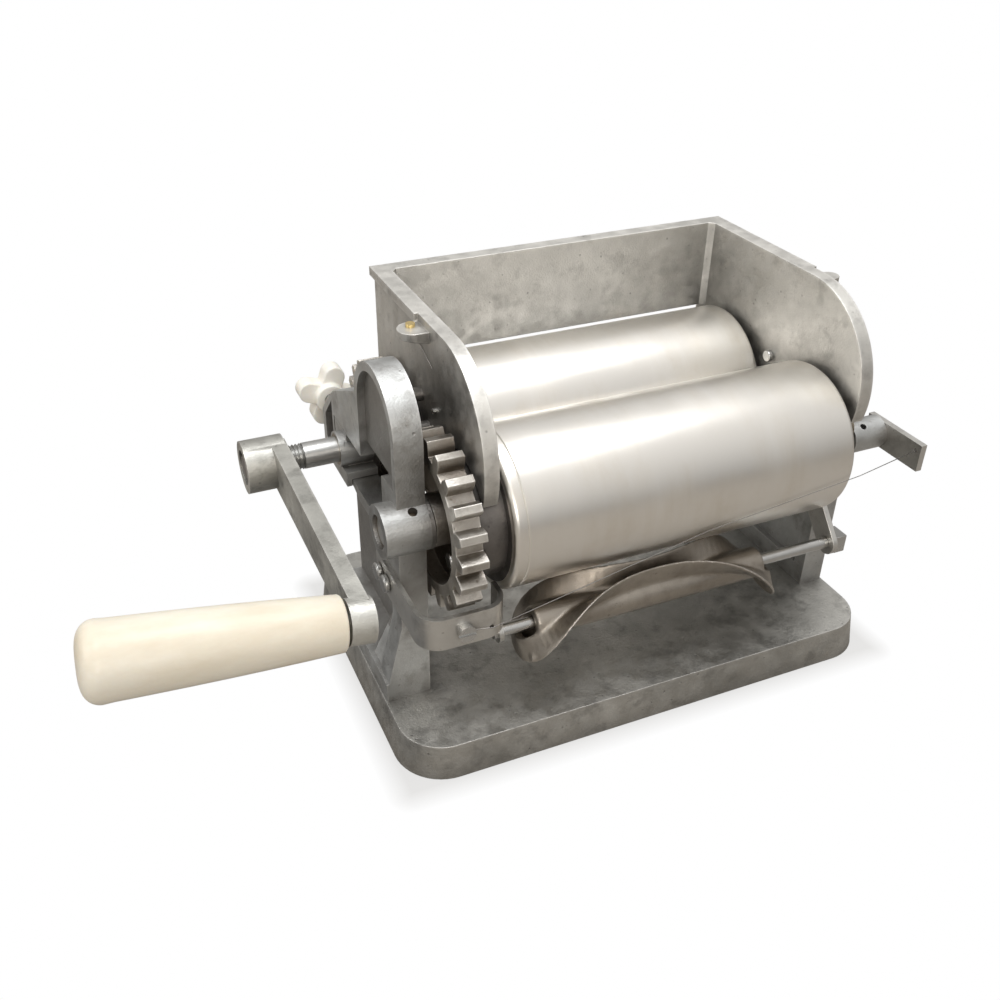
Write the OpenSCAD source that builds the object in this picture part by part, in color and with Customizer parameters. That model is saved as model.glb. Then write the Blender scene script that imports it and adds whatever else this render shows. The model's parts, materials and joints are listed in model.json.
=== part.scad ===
// Hand cranked tortilla machine: two rollers squeeze the dough, a drum knife
// under the front roller cuts it round, and a taut wire strips it off.
// X runs along the rollers with the crank at -X, Y runs to the back, Z is up.
// The origin is the middle of the base's underside.

/* [Rollers] */
// Outer diameter of each roller
roller_d = 88; // [76:1:100]
// Length of each roller
roller_len = 206; // [180:1:240]
// Wall of the roller tube
roller_wall = 5; // [3:0.5:7]
// Rounding of the roller's ends
roller_edge = 3; // [1:0.5:4]
// Gap between the rollers, which sets the dough's thickness
nip_gap = 0.8; // [0.5:0.1:2]
// Travel of the rear roller away from the front one
nip_travel = 1.5; // [0.5:0.1:2.5]
// Diameter of the collars at the roller's ends
collar_d = 69; // [60:1:74]
// Diameter of both shafts
shaft_d = 15; // [12:1:17]
// Height of the roller axes above the table
axis_h = 132.5; // [124:0.5:150]

/* [Base] */
// Height of the base
base_h = 21; // [16:1:28]
// Thickness of the base's top plate
base_plate_t = 7; // [5:0.5:9]
// Wall around the underside of the base
base_wall = 7; // [5:0.5:9]
// Corner radius of the base
base_corner = 28; // [20:1:34]
// Draft of the base's sides
base_draft = 3; // [1:0.5:5]
// Base beyond the roller axes, front and back
base_overhang = 53.6; // [50:0.5:64]
// Base beyond the feet, left and right
base_side = 4; // [3:0.5:10]

/* [Frames] */
// Thickness of the left frame's arch
frame_t = 15.2; // [13:0.2:18]
// Thickness of the left frame's web
web_t = 4.4; // [3:0.2:6]
// Length of the left front boss
boss_len = 24; // [20:0.2:28]
// Thickness of the right frame
right_frame_t = 15.6; // [13:0.2:19]
// Depth of the panels cast into the frames
panel_depth = 4; // [2:0.5:6]
// Width of the rim around a panel
rim_t = 5; // [4:0.5:7]
// Width of the arch
arch_w = 64; // [56:1:70]
// Height of the arch above the roller axes
arch_top = 78.5; // [70:0.5:82]
// Height of a foot
foot_h = 12; // [9:0.5:16]
// Diameter of the front bearing bosses
boss_d = 29; // [27:0.5:31]
// Length of the post that carries the wire's arm
post_len = 23; // [20:0.5:40]

/* [Hopper] */
// Height of the hopper rim above the roller axes
hopper_h = 89.5; // [86:0.5:100]
// Thickness of the hopper's cheeks
cheek_t = 8; // [6:0.5:9]
// Thickness of the hopper's back wall
back_t = 7; // [5:0.5:9]
// Radius of the cheeks' front edge
cheek_r = 53; // [48:1:58]
// Back of the hopper behind the rear roller axis
hopper_back = 39; // [38:0.5:44]

/* [Gears] */
// Teeth on each gear
gear_teeth = 20; // [18:1:24]
// Width of the gears
gear_w = 14.4; // [12:0.2:16]
// Play between the teeth
backlash = 0.35; // [0.25:0.05:0.5]

/* [Crank] */
// Length of the crank between its axes
crank_len = 152; // [120:1:180]
// Angle of the crank above level at rest
crank_angle = 0; // [0:1:20]
// Upward lean of the grip
grip_lean = 7; // [0:0.5:9]
// Diameter of the crank's hub
hub_d = 30; // [28:1:36]
// Length of the crank's hub
hub_len = 23.4; // [21:0.2:28]
// Length of the grip
grip_len = 112.3; // [100:0.1:140]
// Diameter of the grip near the arm
grip_d_in = 26.4; // [22:0.2:30]
// Largest diameter of the grip
grip_d_out = 35.5; // [28:0.5:38]

/* [Cutter] */
// Length of the knife loop along the rollers
cutter_len = 158; // [130:1:172]
// Diameter of the knife loop around its drum
cutter_d = 43.2; // [40:0.2:46]
// Diameter of the drum
drum_d = 18; // [16:0.5:24]
// Diameter of the cutter's rod
rod_d = 7; // [6:0.5:8]
// Angle of the cutter below level, seen from the front roller's axis
cutter_angle = 62; // [58:1:66]
// Thickness of the knife at its root
knife_t = 5; // [4:0.5:6]
// Height of the strap that carries the rod
strap_h = 19; // [17:0.5:22]
// Thickness of the strap
strap_t = 2.5; // [2:0.5:3]

/* [Adjusters] */
// Diameter of the adjusting screws
adjust_d = 8; // [6:0.5:9]
// Diameter over the adjusting knob's lobes
knob_d = 38; // [32:1:42]
// Height of the adjusting knob along its screw
knob_h = 16; // [12:1:20]

/* [Hidden] */
$fn = 64;

// Clearances
run_fit = 0.05;
slide_fit = 0.3;
overrun = 1;
merge = 1;
screw_gap = 1;

// Places along X, from the rollers' middle
wall_gap = 4;
gear_gap = 3.6;
frame_gap = 2.6;
roller_half = roller_len / 2;
cheek_in = roller_half + wall_gap;
cheek_out = cheek_in + cheek_t;
gear_in = cheek_out + gear_gap;
gear_out = gear_in + gear_w;
left_in = gear_out + frame_gap;
left_out = left_in + frame_t;
right_gap = 4;
right_in = cheek_out + right_gap;
right_out = right_in + right_frame_t;
left_low = left_in + boss_len;
foot_step = 1.5;
left_foot = left_low + foot_step;
base_left = left_foot + base_side;
base_right = right_out + base_side;
base_w = base_left + base_right;
mid_x = (base_left - base_right) / 2;

// Places along Y, from the plane midway between the roller axes
roller_r = roller_d / 2;
axis_y = (roller_d + nip_gap) / 2;
base_half_y = axis_y + base_overhang;

// Places along Z, from the roller axes
table_z = -axis_h;
base_top_z = base_h - axis_h;

// Shafts and bushes
shaft_r = shaft_d / 2;
bush_wall = 1.6;
bush_r = shaft_r + run_fit + bush_wall;
shaft_inset = 2;
boss_r = boss_d / 2;
left_boss_in = 2.2;
post_end = right_out + post_len;
post_r = 10;
post_z = -9.5;
right_blind = 2.5;
right_end_gap = 0.5;
oil_hole_d = 5;
oil_angle = 30;
right_oil_d = 4;

// Roller heads
head_t = 10;
head_r = roller_r - roller_wall;
collar_r = collar_d / 2;
right_collar_r = 11;
collar_clear = 2;
right_collar_gap = 0.5;

// Gears
gear_module = 2 * axis_y / gear_teeth;
addendum_share = 0.7;
dedendum_share = 1.05;
pressure = 20;
gear_tip = axis_y + addendum_share * gear_module;
gear_root = axis_y - dedendum_share * gear_module;
gear_base = axis_y * cos(pressure);
flank_steps = 5;
gear_rim = 6;
gear_recess = 9;
gear_hub_r = 14;
gear_screw_d = 5;
gear_screw_head_d = 9;
gear_screw_head_h = 2.5;
gear_screw_len = 4;
gear_screw_ring = 23;
gear_screws_each = 3;

// Frames: outline and window
front_edge = 4.8;
frame_front = -axis_y - front_edge;
arch_r = arch_w / 2;
arch_y = frame_front + arch_r;
arch_spring = arch_top - arch_r;
arch_rear = frame_front + arch_w;
foot_back = 18;
foot_rear = axis_y + foot_back;
shoulder_back = 14;
shoulder_y = axis_y + shoulder_back;
shoulder_z = 30;
shoulder_top = 50;
right_arch_in = 7;
frame_back = 42;
frame_rear = axis_y + frame_back;
rear_top = 14;
rear_low = -17;
arm_low = -20;
arm_step_y = 16;
arm_end_y = 28;
rear_round = 9;
block_half_z = 13;
block_half_y = 15;
block_foot_t = 4.5;
block_top_y = 7;
ring_wall = 1.3;
ring_len = 4;
keeper_t = 3;
keeper_low = 17;
window_top = 22;
window_wall = 4;
window_front = -axis_y + boss_r + window_wall;
window_rear = axis_y + block_half_y + nip_travel + slide_fit;
leg_rim = 9;
strap_pad_low = 63;
column_w = 15;
pad_rim = 3;
flare_top = -62;
pocket_rim = 6;
pocket_share = 1.5;

// Adjusting screws
adjust_z = 6;
adjust_in = 7.6;
adjust_left_x = -left_in - adjust_in;
adjust_right_x = right_in + right_frame_t / 2;
knob_gap = 5.5;
knob_shank = 5;
knob_lobes = 4;
knob_turn = 20;
lobe_share = 0.17;
lobe_r = lobe_share * knob_d;
thread_pitch = 1.25;
knob_y = frame_rear + knob_gap + nip_gap;

// Feet and bolts
bolt_d = 8;
bolt_head_d = 14;
bolt_head_h = 5.3;
bolt_depth = 9;
bolt_play = 0.3;
bolt_in_front = 14;
bolt_in_rear = 16;
bolt_front_y = frame_front + bolt_in_front;
bolt_rear_y = foot_rear - bolt_in_rear;
left_bolt_x = -(left_in + boss_len / 2);
right_bolt_in = 6;
right_bolt_x = right_in + right_bolt_in;

// Hopper
cheek_forward = 21;
cheek_cy = -axis_y + cheek_forward;
cheek_cz = hopper_h - cheek_r;
cheek_low = 20;
tongue_low = -6;
lip_z = 35;
cheek_cut_r = collar_r + collar_clear;
back_out = axis_y + hopper_back;
back_in = back_out - back_t;
corner_fillet = 3;
bead_out = 2.2;
bead_h = 5.2;
ear_out = 14;
left_ear_in = 40;
left_ear_y = -axis_y + left_ear_in;
left_ear_len = 17;
right_ear_in = 21.4;
right_ear_y = -axis_y + right_ear_in;
right_ear_len = 11;
ear_t = 3.6;
ear_drop = 4.5;
ear_gusset = 5;
brass_out = 6;
brass_in = 11;
brass_d = 3;
brass_head_d = 5;
brass_head_h = 1.8;
hopper_screw_d = 4;
hopper_screw_head_d = 7;
hopper_screw_head_h = 3;
hopper_screw_len = 9;
right_screw_len = 12;
stand_r = 4;
stand_gap = 1.25;
stand_low_z = sqrt(pow(gear_tip + stand_gap + stand_r, 2) - pow(axis_y, 2));
stand_back = 10;
stand_high_z = 44;
left_screws = [[0, stand_low_z], [stand_back, stand_high_z]];
right_pad_top = 37;
right_pad_r = 8;
right_stand_front = 46.2;
right_stand_top = 29.7;
right_stand_back = 30;
right_stand_low = 27;
right_screws = [
    [-axis_y + right_stand_front, right_stand_top], [axis_y + right_stand_back, right_stand_low]
];

// Crank
crank_gap = 24.1;
hub_in = left_foot + crank_gap;
thread_shown = 10.5;
thread_start = hub_in - thread_shown;
hub_out = hub_in + hub_len;
hub_r = hub_d / 2;
hub_recess_d = 20;
hub_recess = 4;
nut_h = 3.5;
nut_d = 15;
crank_thread = 2;
crank_thread_depth = 1;
arm_t = 8.6;
arm_w_hub = 27;
arm_w_end = 21.5;
arm_sink = 1;
arm_out = hub_in + arm_t - arm_sink;
eye_d = 22;
eye_back = 1.2;
eye_len = 12;
eye_in = hub_in - eye_back;
eye_out = eye_in + eye_len;
pin_d = 9;
pin_head_d = 13;
pin_head_h = 4;
pin_short = 16;
grip_gap = 1.7;

// Cutter
cutter_r = cutter_d / 2;
cutter_gap = 0.3;
cutter_reach = roller_r + cutter_r + cutter_gap;
rod_y = -axis_y - cutter_reach * cos(cutter_angle);
rod_z = -cutter_reach * sin(cutter_angle);
rod_r = rod_d / 2;
drum_r = drum_d / 2;
drum_end = -7;
cutter_mid = -14.7;
knife_edge = 1.2;
knife_sink = 2;
knife_steps = 96;
knife_turn = -86;
knife_wrap = 168;
dish_wrap = 52;
dish_r = 20.4;
dish_rim = 2.6;
dish_hub_r = 5;
dish_end = 13;

// Strap and hanger
strap_rise = 18.7;
strap_top_z = rod_z + strap_rise + strap_h / 2;
strap_low_z = strap_top_z - strap_h;
strap_clear = 3.8;
strap_in_y = -axis_y - sqrt(pow(gear_tip + strap_clear, 2) - pow(strap_top_z, 2));
strap_out_y = strap_in_y - strap_t;
strap_bend = 13;
strap_reach = 27;
strap_back = -axis_y + strap_reach;
strap_gap = 2;
strap_right = roller_half + strap_gap;
strap_tab = 7;
strap_tab_y = rod_y + strap_tab;
strap_lobe_r = 6;
strap_screw_d = 5;
strap_screw_head_d = 10;
strap_screw_head_h = 3.5;
strap_screw_in = 8;
strap_screw_step = 12;
strap_screw_y = [-axis_y + strap_screw_in, -axis_y + strap_screw_in + strap_screw_step];
strap_screw_z = strap_low_z + strap_h / 2;
hanger_t = 3.5;
hanger_gap = 3.2;
hanger_x = roller_half + hanger_gap;
hanger_pad_r = 6;
hanger_w = 15;
hanger_in = 2.4;
hanger_drop = 20;
hanger_screw_step = 14;
hanger_bend = [-axis_y + hanger_in, -hanger_drop];
hanger_end = hanger_bend + [hanger_screw_step, 0];
hanger_screw_d = 5;
hanger_screw_head_d = 9;
hanger_screw_head_h = 2.4;
square_nut = 11;
square_nut_h = 7;
rod_over = 2;

// Stripper wire
wire_d = 0.8;
wire_sides = 8;
wire_lift = 1.5;
wire_ring = roller_r + wire_lift;
arm_bar_t = 4;
arm_bar_h = 17;
arm_bar_reach = 37;
arm_bar_tail = 8;
arm_bar_tip = -axis_y - arm_bar_reach;
arm_bar_back = -axis_y + arm_bar_tail;
arm_bar_z = post_z;
arm_hole_d = 2.5;
arm_hole_in = 4;
arm_hole = [post_end + arm_bar_t / 2, arm_bar_tip + arm_hole_in, arm_bar_z + arm_hole_in];
wire_screw_out = 27;
wire_screw_up = 9;
wire_hole_out = 12.5;
wire_hole_up = 7;
wire_screw_x = -roller_half - wire_screw_out;
wire_screw_z = strap_low_z + wire_screw_up;
wire_hole_x = -roller_half - wire_hole_out;
wire_hole_z = strap_low_z + wire_hole_up;
wire_screw_d = 5;
wire_screw_head_d = 9.5;
wire_screw_head_h = 3.5;
wire_start_angle = 5;
wire_end_angle = 24;
wire_leave_x = 12;
wire_points = [
    [arm_hole.x, arm_hole.y, arm_hole.z],
    [roller_half + wall_gap, -axis_y - wire_ring * cos(wire_start_angle),
     -wire_ring * sin(wire_start_angle)],
    [wire_leave_x, -axis_y - wire_ring * cos(wire_end_angle), -wire_ring * sin(wire_end_angle)],
    [wire_hole_x, strap_out_y - wire_d, wire_hole_z],
    [wire_screw_x + wire_screw_head_d / 2, strap_out_y - wire_d, wire_screw_z]
];
ear_wire_root = 2.5;
ear_wire_in = [14.4, 13.8, -4.8];
ear_wire_drop = [11.4, 18.1];
ear_wire_x = -cheek_out - wire_d / 2;
ear_wire_points = [
    [-cheek_out - ear_wire_root, left_ear_y + ear_wire_in[0], hopper_h - ear_drop - ear_t],
    [ear_wire_x, left_ear_y + ear_wire_in[1], hopper_h - ear_drop - ear_wire_drop[0]],
    [ear_wire_x, left_ear_y + ear_wire_in[2], hopper_h - ear_drop - ear_wire_drop[1]]
];

// A rod along X from one place to another
module x_rod(x0, x1, r) {
    translate([min(x0, x1), 0, 0]) rotate([0, 90, 0]) cylinder(r = r, h = abs(x1 - x0));
}

// A rod along Y from one place to another
module y_rod(y0, y1, r) {
    translate([0, max(y0, y1), 0]) rotate([90, 0, 0]) cylinder(r = r, h = abs(y1 - y0));
}

// A block between two corners
module block(a, b) {
    translate([min(a.x, b.x), min(a.y, b.y), min(a.z, b.z)])
        cube([abs(b.x - a.x), abs(b.y - a.y), abs(b.z - a.z)]);
}

// A side view, drawn in Y and Z, made thick from x0 to x1
module side(x0, x1) {
    translate([min(x0, x1), 0, 0]) rotate([90, 0, 90]) linear_extrude(abs(x1 - x0)) children();
}

// Moves what is drawn from the rollers' middle to its place over the base
module placed() {
    translate([mid_x, 0, axis_h]) children();
}

// A hexagonal head or nut along X
module x_hex(x0, x1, d) {
    translate([min(x0, x1), 0, 0]) rotate([0, 90, 0]) cylinder(d = d, h = abs(x1 - x0), $fn = 6);
}

// A wire bent through a row of points
function unit(v) = v / norm(v);
function wire_way(p, i) = unit(
    (i < len(p) - 1 ? unit(p[i + 1] - p[i]) : [0, 0, 0]) + (i > 0 ? unit(p[i] - p[i - 1]) : [0, 0, 0])
);
function wire_point(p, i, a) =
    let (t = wire_way(p, i), u = unit(cross(t, [0, 1, 0])), v = cross(t, u))
    p[i] + wire_d / 2 * (cos(a) * u + sin(a) * v);

module bent_wire(points) {
    n = wire_sides;
    last = len(points) - 1;
    ring = [for (i = [0 : last]) for (k = [0 : n - 1]) wire_point(points, i, k * 360 / n)];
    sides = [
        for (i = [0 : last - 1]) for (k = [0 : n - 1])
            let (a = i * n + k, b = i * n + (k + 1) % n)
            each [[a, a + n, b + n], [a, b + n, b]]
    ];
    start = [for (k = [0 : n - 1]) k];
    end = [for (k = [n - 1 : -1 : 0]) last * n + k];
    polyhedron(ring, concat([start], sides, [end]));
}

// Base
module base_outline(inset, r1, r2, h) {
    hull()
        for (x = [-base_w / 2 + base_corner, base_w / 2 - base_corner])
            for (y = [-base_half_y + base_corner, base_half_y - base_corner])
                translate([x, y, 0]) cylinder(r1 = r1 - inset, r2 = r2 - inset, h = h, $fn = 48);
}

module base_plate() {
    color("dimgray")
    difference() {
        base_outline(0, base_corner, base_corner - base_draft, base_h);
        difference() {
            translate([0, 0, -overrun])
                base_outline(base_wall, base_corner, base_corner, base_h - base_plate_t + overrun);
            block([-base_w / 2, -base_wall / 2, -2 * overrun], [base_w / 2, base_wall / 2, base_h]);
            block([-base_wall / 2, -base_half_y, -2 * overrun], [base_wall / 2, base_half_y, base_h]);
        }
        placed()
            for (p = bolt_places())
                translate([p.x, p.y, table_z - overrun])
                    cylinder(d = bolt_d + bolt_play, h = base_h + 2 * overrun);
    }
}

function bolt_places() = [
    for (x = [left_bolt_x, right_bolt_x]) for (y = [bolt_front_y, bolt_rear_y]) [x, y]
];

module frame_bolts() {
    color("gray")
    placed()
        for (p = bolt_places())
            translate([p.x, p.y, 0]) {
                translate([0, 0, base_top_z - base_plate_t - bolt_head_h])
                    rotate([0, 0, 30]) cylinder(d = bolt_head_d, h = bolt_head_h, $fn = 6);
                translate([0, 0, base_top_z - base_plate_t - merge])
                    cylinder(d = bolt_d, h = merge + base_plate_t + bolt_depth);
            }
}

// Frames
module frame_outline() {
    polygon([
        [frame_front, base_top_z], [foot_rear, base_top_z], [foot_rear, arm_low],
        [frame_rear, rear_low], [frame_rear, rear_top - rear_round],
        [frame_rear - rear_round, rear_top],
        [shoulder_y, shoulder_z], [arch_rear, shoulder_top],
        [arch_rear, arch_spring], [frame_front, arch_spring]
    ]);
    translate([arch_y, arch_spring]) circle(arch_r);
}

// The right frame, whose arch is narrower and stays hidden behind the hopper's cheek
module right_outline() {
    polygon([
        [frame_front, base_top_z], [foot_rear, base_top_z], [foot_rear, arm_low],
        [frame_rear, rear_low], [frame_rear, rear_top - rear_round],
        [frame_rear - rear_round, rear_top],
        [shoulder_y, shoulder_z], [arch_rear - right_arch_in, shoulder_top],
        [arch_rear - right_arch_in, arch_spring], [frame_front + right_arch_in, arch_spring],
        [frame_front + right_arch_in, shoulder_z], [frame_front, block_half_z]
    ]);
    translate([arch_y, arch_spring]) circle(arch_r - right_arch_in);
}

module arm_outline() {
    polygon([
        [frame_front, arm_low], [arm_step_y, arm_low], [arm_end_y, rear_low],
        [frame_rear, rear_low], [frame_rear, rear_top - rear_round],
        [frame_rear - rear_round, rear_top],
        [shoulder_y, shoulder_z], [arch_rear, shoulder_top],
        [arch_rear, arch_spring], [frame_front, arch_spring]
    ]);
    translate([arch_y, arch_spring]) circle(arch_r);
}

module column_outline() {
    translate([frame_front, base_top_z]) square([column_w, arm_low - base_top_z + merge]);
    translate([frame_front, strap_low_z - pad_rim])
        square([strap_back - frame_front + pad_rim, strap_h + 2 * pad_rim]);
}

// Flared foot, drawn in X and Z and made deep from y0 to y1
module flare(x_top, y0, y1) {
    translate([0, y1, 0]) rotate([90, 0, 0]) linear_extrude(y1 - y0)
        polygon([
            [-left_in, base_top_z], [-left_foot, base_top_z], [-left_foot, base_top_z + foot_h / 2],
            [-x_top, flare_top], [-left_in, flare_top]
        ]);
}

module arch_panel() {
    translate([frame_front + rim_t, window_top]) square([arch_w - 2 * rim_t, arch_spring - window_top]);
    translate([arch_y, arch_spring]) circle(arch_r - rim_t);
}

module leg_panel() {
    polygon([
        [frame_front + leg_rim, base_top_z + foot_h],
        [foot_rear - leg_rim, base_top_z + foot_h],
        [foot_rear - leg_rim + foot_h / 2, -strap_pad_low],
        [frame_front + leg_rim, -strap_pad_low]
    ]);
}

module rear_pocket() {
    polygon([
        [window_rear + pocket_rim / 2, rear_low + pocket_rim],
        [frame_rear - pocket_rim, rear_low + pocket_rim],
        [frame_rear - pocket_rim, rear_top - rear_round],
        [frame_rear - rear_round - pocket_rim / 2, rear_top - pocket_rim / 2],
        [window_rear + pocket_rim / 2, shoulder_z - pocket_share * pocket_rim]
    ]);
}

module frame_window() {
    polygon([
        [window_front, -block_half_z], [window_rear, -block_half_z], [window_rear, block_half_z],
        [arch_rear - rim_t, block_half_z], [arch_rear - rim_t, window_top], [window_front, window_top]
    ]);
}

// Holes through both frames for the sliding block and its screw
module slide_cuts(x_in, x_out, adjust_x) {
    side(x_in, x_out) frame_window();
    translate([adjust_x, 0, adjust_z])
        y_rod(window_rear - overrun, frame_rear + overrun, adjust_d / 2 + run_fit);
}

module left_frame() {
    color("silver")
    placed()
    difference() {
        union() {
            side(-left_out, -left_in) arm_outline();
            side(-left_out, -left_in) column_outline();
            side(-left_in - web_t, -left_in) frame_outline();
            flare(left_out, frame_front, frame_front + column_w);
            flare(left_in + web_t, frame_front, frame_front + 2 * column_w);
            block([-left_foot, frame_front, base_top_z], [-left_in, foot_rear, base_top_z + foot_h]);
            translate([0, -axis_y, 0]) x_rod(-left_low, -left_in + left_boss_in, boss_r);
            for (p = left_screws)
                translate([0, p[0], p[1]]) x_rod(-left_in - frame_t / 2, -cheek_out, stand_r);
        }
        side(-left_out + panel_depth, -left_low - overrun) arch_panel();
        side(-left_out + panel_depth, -left_low - overrun) rear_pocket();
        slide_cuts(-left_in + overrun, -left_low - overrun, adjust_left_x);
        translate([0, -axis_y, 0])
            x_rod(-left_low - overrun, -left_in + left_boss_in + overrun, bush_r + run_fit);
        translate([-left_in - frame_t / 2, -axis_y, 0]) rotate([oil_angle, 0, 0])
            cylinder(d = oil_hole_d, h = boss_r + overrun);
        for (p = left_screws)
            translate([0, p[0], p[1]])
                x_rod(-cheek_out - hopper_screw_len, -cheek_out + overrun, hopper_screw_d / 2 + run_fit);
        for (y = strap_screw_y)
            translate([0, y, strap_screw_z])
                x_rod(-left_out - overrun, -left_out + strap_screw_d, strap_screw_d / 2 + run_fit);
        frame_bolt_holes();
    }
}

module frame_bolt_holes() {
    for (p = bolt_places())
        translate([p.x, p.y, base_top_z - overrun])
            cylinder(d = bolt_d + 2 * run_fit, h = bolt_depth + overrun + run_fit);
}

module right_frame() {
    color("silver")
    placed()
    difference() {
        union() {
            side(right_in, right_out) {
                right_outline();
                translate([shoulder_y, 0]) square([back_out - shoulder_y, right_pad_top]);
            }
            translate([0, -axis_y, post_z]) x_rod(right_out, post_end, post_r);
            for (p = right_screws) translate([0, p[0], p[1]]) x_rod(cheek_out, right_in, right_pad_r);
            for (p = hanger_screw_places())
                translate([0, p[0], p[1]]) x_rod(hanger_x + hanger_t, right_in, hanger_pad_r);
        }
        side(right_out - panel_depth, right_out + overrun) leg_panel();
        side(right_in - overrun, right_in + panel_depth) leg_panel();
        slide_cuts(right_in - overrun, right_out + overrun, adjust_right_x);
        translate([0, -axis_y, 0]) x_rod(right_in - overrun, right_out - right_blind, bush_r + run_fit);
        translate([right_out + post_len / 3, -axis_y, post_z]) rotate([oil_angle, 0, 0])
            cylinder(d = right_oil_d, h = post_r + overrun);
        translate([0, -axis_y, post_z])
            x_rod(post_end - post_r, post_end + overrun, wire_screw_d / 2 + run_fit);
        for (p = right_screws)
            translate([0, p[0], p[1]])
                x_rod(cheek_out - overrun, cheek_out + right_screw_len + run_fit,
                      hopper_screw_d / 2 + run_fit);
        for (p = hanger_screw_places())
            translate([0, p[0], p[1]])
                x_rod(hanger_x, right_in + hanger_t + run_fit, hanger_screw_d / 2 + run_fit);
        frame_bolt_holes();
    }
}

// Hopper
module cheek() {
    difference() {
        union() {
            translate([cheek_cy, cheek_low]) square([back_out - cheek_cy, hopper_h - cheek_low]);
            translate([-axis_y, tongue_low]) square([2 * axis_y, cheek_low - tongue_low + merge]);
            difference() {
                translate([cheek_cy, cheek_cz]) circle(cheek_r);
                translate([-base_half_y, -base_half_y + tongue_low]) square([2 * base_half_y, base_half_y]);
            }
        }
        for (y = [-axis_y, axis_y]) translate([y, 0]) circle(cheek_cut_r);
    }
}

// A tongue with a round end, thickest where it leaves the cheek
module ear(len) {
    low = ear_t + ear_gusset;
    intersection() {
        translate([0, len, 0]) rotate([90, 0, 0]) linear_extrude(len)
            polygon([
                [-merge, 0], [ear_out, 0], [ear_out, -ear_t], [0, -ear_t - ear_gusset / 2],
                [-merge, -ear_t - ear_gusset / 2]
            ]);
        translate([0, 0, -low]) linear_extrude(low) {
            translate([-merge, 0]) square([ear_out - len / 2 + merge, len]);
            translate([ear_out - len / 2, len / 2]) circle(len / 2);
        }
    }
}

// A bead round the hopper's rim, behind the ears
module rim_bead() {
    low = hopper_h - bead_h;
    left_from = left_ear_y + left_ear_len - merge;
    right_from = right_ear_y + right_ear_len - merge;
    to = back_out - merge;
    block([-cheek_out - bead_out, back_in, low], [cheek_out + bead_out, back_out + bead_out, hopper_h]);
    block([-cheek_out - bead_out, left_from, low], [-cheek_out + merge, to, hopper_h]);
    block([cheek_out - merge, right_from, low], [cheek_out + bead_out, to, hopper_h]);
}

ear_z = hopper_h - ear_drop;
ear_screws = [[-cheek_out - brass_out, left_ear_y + brass_in]];

module corner_post() {
    linear_extrude(hopper_h - lip_z) polygon([
        [merge, merge], [-corner_fillet, merge], [-corner_fillet, 0],
        [0, -corner_fillet], [merge, -corner_fillet]
    ]);
}

module hopper() {
    color("gainsboro")
    placed()
    difference() {
        union() {
            side(-cheek_out, -cheek_in) cheek();
            side(cheek_in, cheek_out) cheek();
            block([-cheek_out, back_in, lip_z], [cheek_out, back_out, hopper_h]);
            translate([cheek_in, back_in, lip_z]) corner_post();
            mirror([1, 0, 0]) translate([cheek_in, back_in, lip_z]) corner_post();
            rim_bead();
            translate([cheek_out, right_ear_y, ear_z]) ear(right_ear_len);
            mirror([1, 0, 0]) translate([cheek_out, left_ear_y, ear_z]) ear(left_ear_len);
        }
        for (p = left_screws) translate([0, p[0], p[1]]) {
            x_rod(-cheek_out - overrun, -cheek_in + overrun, hopper_screw_d / 2 + run_fit);
        }
        for (p = right_screws) translate([0, p[0], p[1]]) {
            x_rod(cheek_in - overrun, cheek_out + overrun, hopper_screw_d / 2 + run_fit);
        }
        for (p = ear_screws)
            translate([p.x, p.y, ear_z - ear_t - ear_gusset])
                cylinder(d = brass_d + 2 * run_fit, h = ear_t + ear_gusset + overrun);
    }
}

module hopper_screws() {
    color("silver")
    placed() {
        for (p = left_screws) translate([0, p[0], p[1]]) {
            x_rod(-cheek_in, -cheek_in + hopper_screw_head_h, hopper_screw_head_d / 2);
            x_rod(-cheek_in, -cheek_out - hopper_screw_len + screw_gap, hopper_screw_d / 2);
        }
        for (p = right_screws) translate([0, p[0], p[1]]) {
            x_rod(cheek_in - hopper_screw_head_h, cheek_in, hopper_screw_head_d / 2);
            x_rod(cheek_in, cheek_out + right_screw_len, hopper_screw_d / 2);
        }
    }
}

module brass_screws() {
    color("gold")
    placed()
        for (p = ear_screws)
            translate([p.x, p.y, ear_z]) {
                cylinder(d = brass_head_d, h = brass_head_h);
                translate([0, 0, -ear_t]) cylinder(d = brass_d, h = ear_t);
            }
}

module ear_wire() {
    color("silver")
    placed()
        bent_wire(ear_wire_points);
}

// Rollers
module roller_tube() {
    rotate([0, 90, 0])
        rotate_extrude() {
            translate([head_r + run_fit, -roller_half])
                square([roller_wall - run_fit - roller_edge, roller_len]);
            translate([roller_r - roller_edge - run_fit, -roller_half + roller_edge])
                square([roller_edge + run_fit, roller_len - 2 * roller_edge]);
            for (z = [-roller_half + roller_edge, roller_half - roller_edge])
                intersection() {
                    translate([roller_r - roller_edge, z]) circle(roller_edge);
                    translate([head_r + run_fit, -roller_half]) square([roller_wall, roller_len]);
                }
        }
}

module roller_heads() {
    difference() {
        union() {
            x_rod(-roller_half, -roller_half + head_t, head_r);
            x_rod(-gear_in, -roller_half, collar_r);
        }
        x_rod(-gear_in - overrun, -roller_half + head_t + overrun, shaft_r + run_fit);
    }
    difference() {
        union() {
            x_rod(roller_half - head_t, roller_half, head_r);
            x_rod(roller_half, right_in - right_collar_gap, right_collar_r);
        }
        x_rod(roller_half - head_t - overrun, right_in + overrun, shaft_r + run_fit);
    }
}

module front_roller() { color("whitesmoke") placed() translate([0, -axis_y, 0]) roller_tube(); }
module rear_roller() { color("whitesmoke") placed() translate([0, axis_y, 0]) roller_tube(); }
module front_roller_heads() { color("dimgray") placed() translate([0, -axis_y, 0]) roller_heads(); }
module rear_roller_heads() { color("dimgray") placed() translate([0, axis_y, 0]) roller_heads(); }

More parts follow.
